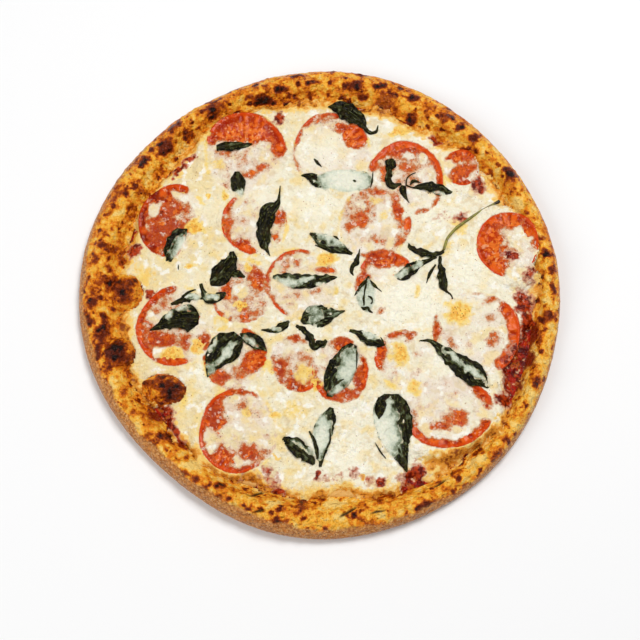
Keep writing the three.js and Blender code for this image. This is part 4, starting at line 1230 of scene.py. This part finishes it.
def stalk_material():
    s = Shader("basil_stalk")
    colour = s.layers(
        (142, 138, 40),
        (s.noise(3, 3), 0.35, 0.65, (104, 94, 26)),
        (s.value("cut_end"), 0.3, 0.9, (36, 24, 10)),
    )
    s.bump(s.noise(0.8, 3), 0.4, 0.2)
    return s.finish(colour, 0.4, 0.45)


# ---- the dough

RIM_STEPS = 1040
BELLY_STEPS = 7
SHOULDER_STEPS = 24
SLOPE_STEPS = 22
FLOOR_RINGS = 30
FLOOR_REACH = 32.0  # how far inside the foot the fine mesh goes on
BAKE_MEAN = 0.35  # from 0, pale, to 1, charred
BAKE_SWING = 0.05
BAKE_SIDE = math.radians(135)
CHARRED = 1.02
PALE_LOSS = 0.24


def rim_sections():
    """Points of the dough as rings, from the underside outward, over the rim and down to the base,
    and how much of the rim's swelling each of them has."""
    angle = np.arange(RIM_STEPS) / RIM_STEPS * TURN
    outer, foot = outline_radius(angle), foot_radius(angle)
    crest = outer - rim_width(angle) * RIM_CREST
    height, belly = rim_height(angle), belly_height(angle)
    rings = []
    for step in range(BELLY_STEPS + 1):
        turn = step / BELLY_STEPS * math.pi / 2
        rings.append((outer - UNDER_EDGE * (1 - math.sin(turn)), belly * (1 - math.cos(turn)), 0.0))
    for step in range(1, SHOULDER_STEPS + 1):
        turn = step / SHOULDER_STEPS * math.pi / 2
        radius = crest + (outer - crest) * math.cos(turn)
        rings.append((radius, belly + (height - belly) * math.sin(turn), math.sin(turn)))
    for step in range(1, SLOPE_STEPS + 1):
        share = step / SLOPE_STEPS
        drop = float(hill(share, 1))
        rings.append((crest - (crest - foot) * share, BASE_TOP + (height - BASE_TOP) * drop, drop))
    for step in range(1, FLOOR_RINGS + 1):
        rings.append((foot - FLOOR_REACH * step / FLOOR_RINGS, BASE_TOP + 0 * foot, 0.0))
    points, swelling = [], []
    for count, (radius, z, swell) in enumerate(rings):
        x, y = from_polar(angle, radius)
        z = z + swell * bubble_height(x, y)
        if count > BELLY_STEPS:
            z = soft_max(dome_height(x, y), z)
        points.append(np.stack([x, y, z], axis=-1))
        swelling.append(np.full(RIM_STEPS, swell))
    return np.array(points), np.array(swelling)


def surface_normals(points):
    around = np.roll(points, -1, axis=1) - np.roll(points, 1, axis=1)
    normal = np.cross(around, np.gradient(points, axis=0))
    return normal / np.maximum(np.linalg.norm(normal, axis=-1, keepdims=True), 1e-9)


def make_crust():
    points, swelling = rim_sections()
    x, y, z = (points[..., k] for k in range(3))
    angle, radius = polar(x, y)
    foot = foot_radius(angle)
    char = patches(x, y, CHAR, CRUST_LEVEL, reach=1.5, inner=0.3, outer=1.35)
    char = char * (1 + 0.35 * rough(x, y, z, 4.5, 39))
    # the creases sink the relief and carry painted shade in their colour
    shaded_crease = patches(x, y, CREASES, CRUST_LEVEL, reach=0.4)
    blisters = grains(x, y, 5.5, 43, 0.4)
    blown = smooth(BASE_TOP, BASE_TOP + 4, dome_height(x, y))
    on_top = smooth(1.0, 6.0, z) * (1 - smooth(0.0, 3.0, foot - radius) * (1 - blown))
    relief = 0.8 * rough(x, y, z, 11, 41) + 0.7 * rough(x, y, z, 4.5, 42) + 0.8 * blisters
    relief = relief + 0.45 * grains(x, y, 2.8, 44, 0.4) + 0.35 * char - 1.3 * shaded_crease
    relief = relief * (0.15 + 0.85 * np.maximum(swelling, blown)) * on_top
    relief = relief + 0.15 * rough(x, y, z, 3, 45) * smooth(0.3, 1.5, z)
    points = points + surface_normals(points) * relief[..., None]
    points[..., 2] = np.maximum(points[..., 2], 0)

    low_side = 0.5 + 0.5 * np.cos(angle - BELLY_LOW_SIDE)
    band = 0.4 + 5.4 * low_side**1.5 + 1.8 * rough(x, y, 0, 9, 46) * (0.3 + low_side)
    flour = 1 - smooth(band - 2.2, band + 2.6, outline_radius(angle) - radius)
    bake = BAKE_MEAN + BAKE_SWING * np.cos(angle - BAKE_SIDE) + 0.14 * rough(x, y, z, 12, 47)
    bake = bake + 0.12 * rough(x, y, z, 4.5, 48) + 0.06 * blisters
    bake = bake - PALE_LOSS * patches(x, y, PALE, CRUST_LEVEL, inner=0.2, outer=1.3)
    cheesy = smooth(9.0, 0.5, radius - foot) * (0.7 + 0.6 * rough(x, y, 0, 9, 40)) * (1 - blown)
    values = {
        "bake": np.maximum(bake * (1 - char), 0) + CHARRED * char,
        "flour": np.maximum(flour, 1 - smooth(1.0, 4.0, z)),
        "shaded_crease": shaded_crease,
        "cheesy": np.clip(cheesy * (1 - char), 0, 1),
        "stain": patches(x, y, STAINS, inner=0.4, outer=1.35),
    }
    piece = mesh_piece("baked_crust", points.reshape(-1, 3), ring_faces(len(points), RIM_STEPS), values)
    finish_piece(piece, crust_material(), "crust", "crust")


# ---- the sauce

SAUCE_STEPS = 760
SAUCE_RINGS = 34
SAUCE_RING_WIDTH = 1.1
SAUCE_OVERLAP = 1.2  # how far its edge goes into the rim, and down there


def make_sauce():
    angle = np.arange(SAUCE_STEPS) / SAUCE_STEPS * TURN
    edge = sauce_edge(angle) + SAUCE_OVERLAP
    rings = []
    for step in range(SAUCE_RINGS + 1):
        x, y = from_polar(angle, edge - SAUCE_RING_WIDTH * step)
        z = np.maximum(sauce_top(x, y), BASE_TOP + 0.2) - SAUCE_OVERLAP * (step == 0)
        rings.append(np.stack([x, y, z], axis=-1))
    under = rings[0].copy()
    under[:, 2] = BASE_TOP + 0.1
    points = np.array([under, *rings])
    values = {"cheesy": patches(points[..., 0], points[..., 1], RUNS)}
    piece = mesh_piece("sauce_layer", points.reshape(-1, 3), ring_faces(len(points), SAUCE_STEPS), values)
    finish_piece(piece, sauce_material(), "sauce", "sauce")


# ---- the cheese

# For each side of a cell: the cell beside it, and where the side starts and ends.
CELL_SIDES = (
    ((-1, 0), (0, 1), (0, 0)),
    ((1, 0), (1, 0), (1, 1)),
    ((0, -1), (0, 0), (1, 0)),
    ((0, 1), (1, 1), (0, 1)),
)
# The corners of a block of four cells, each with the middle of the side after it.
BLOCK_LOOP = (((0, 0), (0, 1)), ((0, 2), (1, 2)), ((2, 2), (2, 1)), ((2, 0), (1, 0)))


def shell_faces(filled):
    """Faces over and under the filled cells of the grid, closed at the sides. The underside is coarser."""
    size, lift = GX.shape[1], GX.size
    at = np.arange(lift).reshape(GX.shape)
    i, j = np.nonzero(filled)
    faces = np.stack([at[i, j], at[i + 1, j], at[i + 1, j + 1], at[i, j + 1]], axis=-1).tolist()
    high, wide = filled.shape
    padded = np.pad(filled, 1)
    for (di, dj), start, end in CELL_SIDES:
        i, j = np.nonzero(filled & ~padded[1 + di : 1 + di + high, 1 + dj : 1 + dj + wide])
        a, b = at[i + start[0], j + start[1]], at[i + end[0], j + end[1]]
        faces += np.stack([b, a, a + lift, b + lift], axis=-1).tolist()
    rows, columns = high // 2, wide // 2
    blocks = filled[: rows * 2, : columns * 2].reshape(rows, 2, columns, 2).all(axis=(1, 3))
    around = np.pad(blocks, 1)
    whole = np.zeros(filled.shape, bool)
    for bi, bj in zip(*np.nonzero(blocks)):
        i, j = 2 * bi, 2 * bj
        whole[i : i + 2, j : j + 2] = True
        loop = []
        for (ci, cj), (mi, mj) in BLOCK_LOOP:
            loop.append((i + ci) * size + j + cj + lift)
            if not around[bi + mi, bj + mj]:
                loop.append((i + mi) * size + j + mj + lift)
        faces.append(loop)
    i, j = np.nonzero(filled & ~whole)
    faces += (np.stack([at[i, j], at[i, j + 1], at[i + 1, j + 1], at[i + 1, j]], axis=-1) + lift).tolist()
    return faces


def compact(points, faces, values):
    """Drops the points that no face uses."""
    used = np.zeros(len(points), bool)
    for face in faces:
        used[face] = True
    new = np.cumsum(used) - 1
    faces = [new[face].tolist() for face in faces]
    return points[used], faces, {key: data[used] for key, data in values.items()}


SIDE_DEPTH = 0.35  # how far below what it lies on the cheese ends at its edge, and its underside lies
UNDER_DEPTH = 0.6
RED_MOST = 0.57  # how much of the tomato shows where the film has no thickness
RED_LOSS = 0.95  # for each mm of film


def make_cheese():
    inside = CHEESE_DEPTH > 0
    filled = inside[:-1, :-1] | inside[1:, :-1] | inside[:-1, 1:] | inside[1:, 1:]
    support = CHEESE_SURFACE - CHEESE_DEPTH
    top, under = np.where(inside, CHEESE_SURFACE, support - SIDE_DEPTH), support - UNDER_DEPTH
    points = np.concatenate([np.stack([GX, GY, z], axis=-1).reshape(-1, 3) for z in (top, under)])

    to_edge = CHEESE_EDGE - GRID_RADIUS
    slices = ON_SLICE.astype(float)
    on_slice, border = blurred(slices, 0.7), blurred(slices, 1.6)
    in_bay = smooth(1.0, 4.0, bay_depth(GRID_ANGLE)) * smooth(7.0, 0.5, to_edge)
    in_bay = in_bay * (1 - patches(GX, GY, RUNS, outer=1.4))
    brown = smooth(11.0, 0.5, to_edge) * (0.95 + 0.7 * rough(GX, GY, 0, 8, 63)) * (1 - in_bay)
    brown = np.maximum(np.clip(brown, 0, 1), patches(GX, GY, BROWNED, reach=2.0, inner=0.3, outer=1.25))
    halo = 4 * border * (1 - border) * np.clip(0.9 * noise(GX, GY, 0, 10, 67) - 0.15, 0, 0.5)
    stain = patches(GX, GY, STAINS, reach=2.0, inner=0.4, outer=1.35)
    toast = 0.15 + 0.5 * blurred(np.isin(SLICE_OWNER, DARK_SLICES).astype(float), 0.7)
    values = {
        "red_below": on_slice * np.clip(RED_MOST - RED_LOSS * blurred(FILM_THICKNESS, 0.6), 0, 1),
        "pink": blurred(slices, 1.2) * (0.5 + 0.5 * rough(GX, GY, 0, 9, 65)),
        "leaf_below": blurred(ON_LEAF * smooth(0.3, 0.6, FILM_FIELD), 1.1),
        "veil": FILM_FIELD,
        "smooth": 0.9 * patches(GX, GY, SMOOTH, inner=0.3, outer=1.5),
        "stain": np.maximum(stain, 0.75 * in_bay),
        "gold": np.maximum(patches(GX, GY, GOLD, reach=2.0, inner=0.2, outer=1.3), halo),
        "warm": 0.5 - GX / 230 + 0.4 * rough(GX, GY, 0, 26, 64),
        "rim_brown": brown * (1 - 0.9 * on_slice),
        "toast": toast * (1 + 0.9 * rough(GX, GY, 0, 7, 66)),
    }
    values = {key: np.tile(data.ravel(), 2) for key, data in values.items()}
    points, faces, values = compact(points, shell_faces(filled), values)
    finish_piece(mesh_piece("melted_cheese", points, faces, values), cheese_material(), "cheese", "cheese")


# ---- the slices

SLICE_STEPS = 120
DARK_TOAST = 0.45
LIGHT_TOAST = 0.2
# Rings of a slice: share of its radius and height for those of the side, and the share for those of the top.
SIDE_RINGS = ((0.97, 0.0), (0.995, 0.5), (1.0, SLICE_THICKNESS * 0.5), (1.0, SLICE_THICKNESS - 0.6))
TOP_RINGS = (0.985, 0.96, 0.93, 0.9, 0.86, 0.82, 0.78, 0.73, 0.67)
TOP_RINGS += (0.6, 0.52, 0.44, 0.36, 0.28, 0.2, 0.12, 0.05)
UNDER_SLICE = 2.6  # how far a slice sinks under one that lies on it


def make_slice(number, material):
    middle, turn = slice_frame(number)
    angle = np.arange(SLICE_STEPS) / SLICE_STEPS * TURN
    wobble = slice_wobble(angle, number)
    levels = SIDE_RINGS + tuple((level, None) for level in TOP_RINGS)
    rings = []
    for level, height in levels:
        reach = np.full(SLICE_STEPS, level)
        z = slice_relief(reach, angle, number) if height is None else height + 0 * angle
        local_x = SLICES[number][2] * level * wobble * np.cos(angle)
        local_y = SLICES[number][3] * level * wobble * np.sin(angle)
        place = np.stack([local_x, local_y, z], axis=-1) @ turn.T + middle
        x, y = place[:, 0], place[:, 1]
        if height is None:
            wrinkle = 0.3 * rough(x, y, 0, 4, 81) + 0.15 * rough(x, y, 0, 1.8, 82)
            place[:, 2] += wrinkle * smooth(1.02, 0.9, level)
        for above in range(number):
            place[:, 2] -= UNDER_SLICE * (1 - smooth(0.96, 1.06, slice_reach(x, y, above)[0]))
        rings.append(place)
    points = np.array(rings).reshape(-1, 3)
    x, y = points[:, 0], points[:, 1]
    reach, around = np.repeat([level for level, _ in levels], SLICE_STEPS), np.tile(angle, len(levels))
    toast = smooth(0.1, 0.8, rough(x, y, 0, 9, 84 + number))
    toast = toast * (DARK_TOAST if number in DARK_SLICES else LIGHT_TOAST)
    if number == SINGED_SLICE:
        toast = np.maximum(toast, smooth(-84, -104, x) * (0.6 + 0.4 * noise(x, y, 0, 5, 85)))
    streak = 0.5 + 0.5 * noise(around * 9, reach * 2.6, number * 7.0, 1.0, 83)
    values = {"reach": reach, "streak": streak, "toast": toast}
    piece = mesh_piece(f"roast_slice_{number + 1:02d}", points, ring_faces(len(levels), SLICE_STEPS), values)
    finish_piece(piece, material, "tomato", f"tomato_slice_{number + 1:02d}")


# ---- the basil

BLADE_HALF = 0.35  # of the leaf's thickness, the share over and under its middle
VEIN_SPACING = 2.4
RIB_LINE = 0.6


def blade_mesh(blade):
    """Points, faces and values of a blade with its thickness."""
    share, side, x, y = blade.grid()
    film = sample(FILM_FIELD, x, y)
    if blade.on_film:
        z = sample(CHEESE_SURFACE, x, y) + 0.1 + 0.2 * (1 - side**2) + 0.25 * noise(x, y, 0, 1.8, 34)
    else:
        z = sample(REST_FIELD, x, y) + blade.lift(share, side, film)
    half = LEAF_THICKNESS * BLADE_HALF
    points = [np.stack([x, y, z + offset], axis=-1).reshape(-1, 3) for offset in (half, -half)]
    at = np.arange(x.size).reshape(x.shape)
    quads = np.stack([at[:-1, :-1], at[1:, :-1], at[1:, 1:], at[:-1, 1:]], axis=-1).reshape(-1, 4)
    border = np.array([*at[0, :], *at[1:, -1], *at[-1, -2::-1], *at[-2:0:-1, 0]])
    after = np.roll(border, -1)
    sides = np.stack([border, after, after + x.size, border + x.size], axis=-1)
    faces = np.concatenate([quads[:, ::-1], quads + x.size, sides])
    across = side * blade.half_width(share)
    rib = np.exp(-((across / RIB_LINE) ** 2))
    veins = 0.5 + 0.5 * np.cos((share * blade.length - np.abs(across)) / VEIN_SPACING * TURN / 2)
    values = {
        "rib": np.maximum(rib, 0.5 * veins**6),
        "streak": 0.5 + 0.5 * noise(share * blade.length / 3.2, across, blade.number * 9.0, 1.0, 33),
        "veil": 0 * x if blade.on_film else film,
    }
    return np.concatenate(points), faces, {key: np.tile(data.ravel(), 2) for key, data in values.items()}


def make_leaf(number, material):
    points, faces, values, count = [], [], {}, 0
    for blade in BLADES[number] + blades_of(STROKES, number, on_film=True):
        more_points, more_faces, more_values = blade_mesh(blade)
        points.append(more_points)
        faces += (more_faces + count).tolist()
        for key, data in more_values.items():
            values.setdefault(key, []).append(data)
        count += len(more_points)
    values = {key: np.concatenate(parts) for key, parts in values.items()}
    piece = mesh_piece(f"wilted_leaf_{number + 1:02d}", np.concatenate(points), faces, values)
    finish_piece(piece, material, "basil", f"basil_leaf_{number + 1:02d}")


def tube(path, radii, sides):
    """Points and faces of a closed tube along a path."""
    tangent = np.gradient(path, axis=0)
    tangent /= np.linalg.norm(tangent, axis=1, keepdims=True)
    across = np.cross(tangent, (0.0, 0.0, 1.0))
    across /= np.maximum(np.linalg.norm(across, axis=1, keepdims=True), 1e-9)
    upward = np.cross(across, tangent)
    angle = np.arange(sides) / sides * TURN
    ring = across[:, None] * np.cos(angle)[None, :, None] + upward[:, None] * np.sin(angle)[None, :, None]
    points = path[:, None] + ring * radii[:, None, None]
    return points.reshape(-1, 3), ring_faces(len(path), sides)


STALK_STEPS = 60
STALK_SIDES = 10
STALK_SMOOTHING = 12
STALK_GAP = 0.3  # between it and what it lies on


def make_stalk():
    bends = np.array(STALK_BENDS, float)
    place = np.linspace(0, len(bends) - 1, STALK_STEPS)
    x, y = (np.interp(place, np.arange(len(bends)), bends[:, k]) for k in (0, 1))
    for line in (x, y):
        for _ in range(STALK_SMOOTHING):
            line[1:-1] = (line[:-2] + 2 * line[1:-1] + line[2:]) / 4
    z = sample(blurred(REST_FIELD, 3.0), x, y) + STALK_RADIUS + STALK_GAP
    share = np.linspace(0, 1, STALK_STEPS)
    radii = STALK_RADIUS * (0.9 + 0.25 * np.exp(-((share / 0.05) ** 2)) + 0.15 * hill(share - 0.5, 0.04))
    points, faces = tube(np.stack([x, y, z], axis=-1), radii, STALK_SIDES)
    values = {"cut_end": np.repeat(1 - smooth(0.03, 0.12, share), STALK_SIDES)}
    finish_piece(mesh_piece("stalk_round", points, faces, values), stalk_material(), "stalk", "basil_stalk")


# ---- camera, floor and light, in metres

FLOOR_HALF = 3.0
FLOOR_DROP = 0.0002
FLOOR_WHITE = (0.92, 0.92, 0.92, 1)
WORLD_STRENGTH = 0.27
# A lamp is its name, power in watts, size and place.
LAMPS = (("key", 25, 0.7, (0.55, 0.6, 1.75)), ("fill", 11.5, 1.2, (-1.15, -0.6, 1.15)))


def make_camera():
    data = bpy.data.cameras.new("camera")
    data.lens = LENS
    data.sensor_width = SENSOR
    camera = link(data, "camera")
    camera.location = EYE * MM
    camera.rotation_euler = (math.pi / 2 - ELEVATION, 0, 0)
    bpy.context.scene.camera = camera


def make_stage():
    mesh = bpy.data.meshes.new("floor")
    corners = [(FLOOR_HALF * x, FLOOR_HALF * y, 0) for x, y in ((-1, -1), (1, -1), (1, 1), (-1, 1))]
    mesh.from_pydata(corners, [], [(0, 1, 2, 3)])
    floor = link(mesh, "floor")
    floor.location.z = -FLOOR_DROP
    s = Shader("floor_white")
    s.feed(s.skin, Roughness=0.9)
    s.skin.inputs["Base Color"].default_value = FLOOR_WHITE
    mesh.materials.append(s.material)


def make_lamp(name, power, size, location):
    data = bpy.data.lights.new(name, "AREA")
    data.energy = power
    data.size = size
    lamp = link(data, name)
    lamp.location = location
    tilt = math.atan2(math.hypot(location[0], location[1]), location[2])
    lamp.rotation_euler = (tilt, 0, math.atan2(-location[1], -location[0]) - math.pi / 2)


def make_light():
    world = bpy.data.worlds.new("studio")
    world.use_nodes = True
    background = world.node_tree.nodes["Background"]
    background.inputs["Color"].default_value = (1, 1, 1, 1)
    background.inputs["Strength"].default_value = WORLD_STRENGTH
    bpy.context.scene.world = world
    for lamp in LAMPS:
        make_lamp(*lamp)
    bpy.context.scene.view_settings.view_transform = "Standard"


# ---- the scene

make_camera()
make_stage()
make_light()
make_crust()
make_sauce()
make_cheese()
tomato = tomato_material()
for slice_number in range(len(SLICES)):
    make_slice(slice_number, tomato)
basil = basil_material()
for leaf_number in range(LEAF_COUNT):
    make_leaf(leaf_number, basil)
make_stalk()
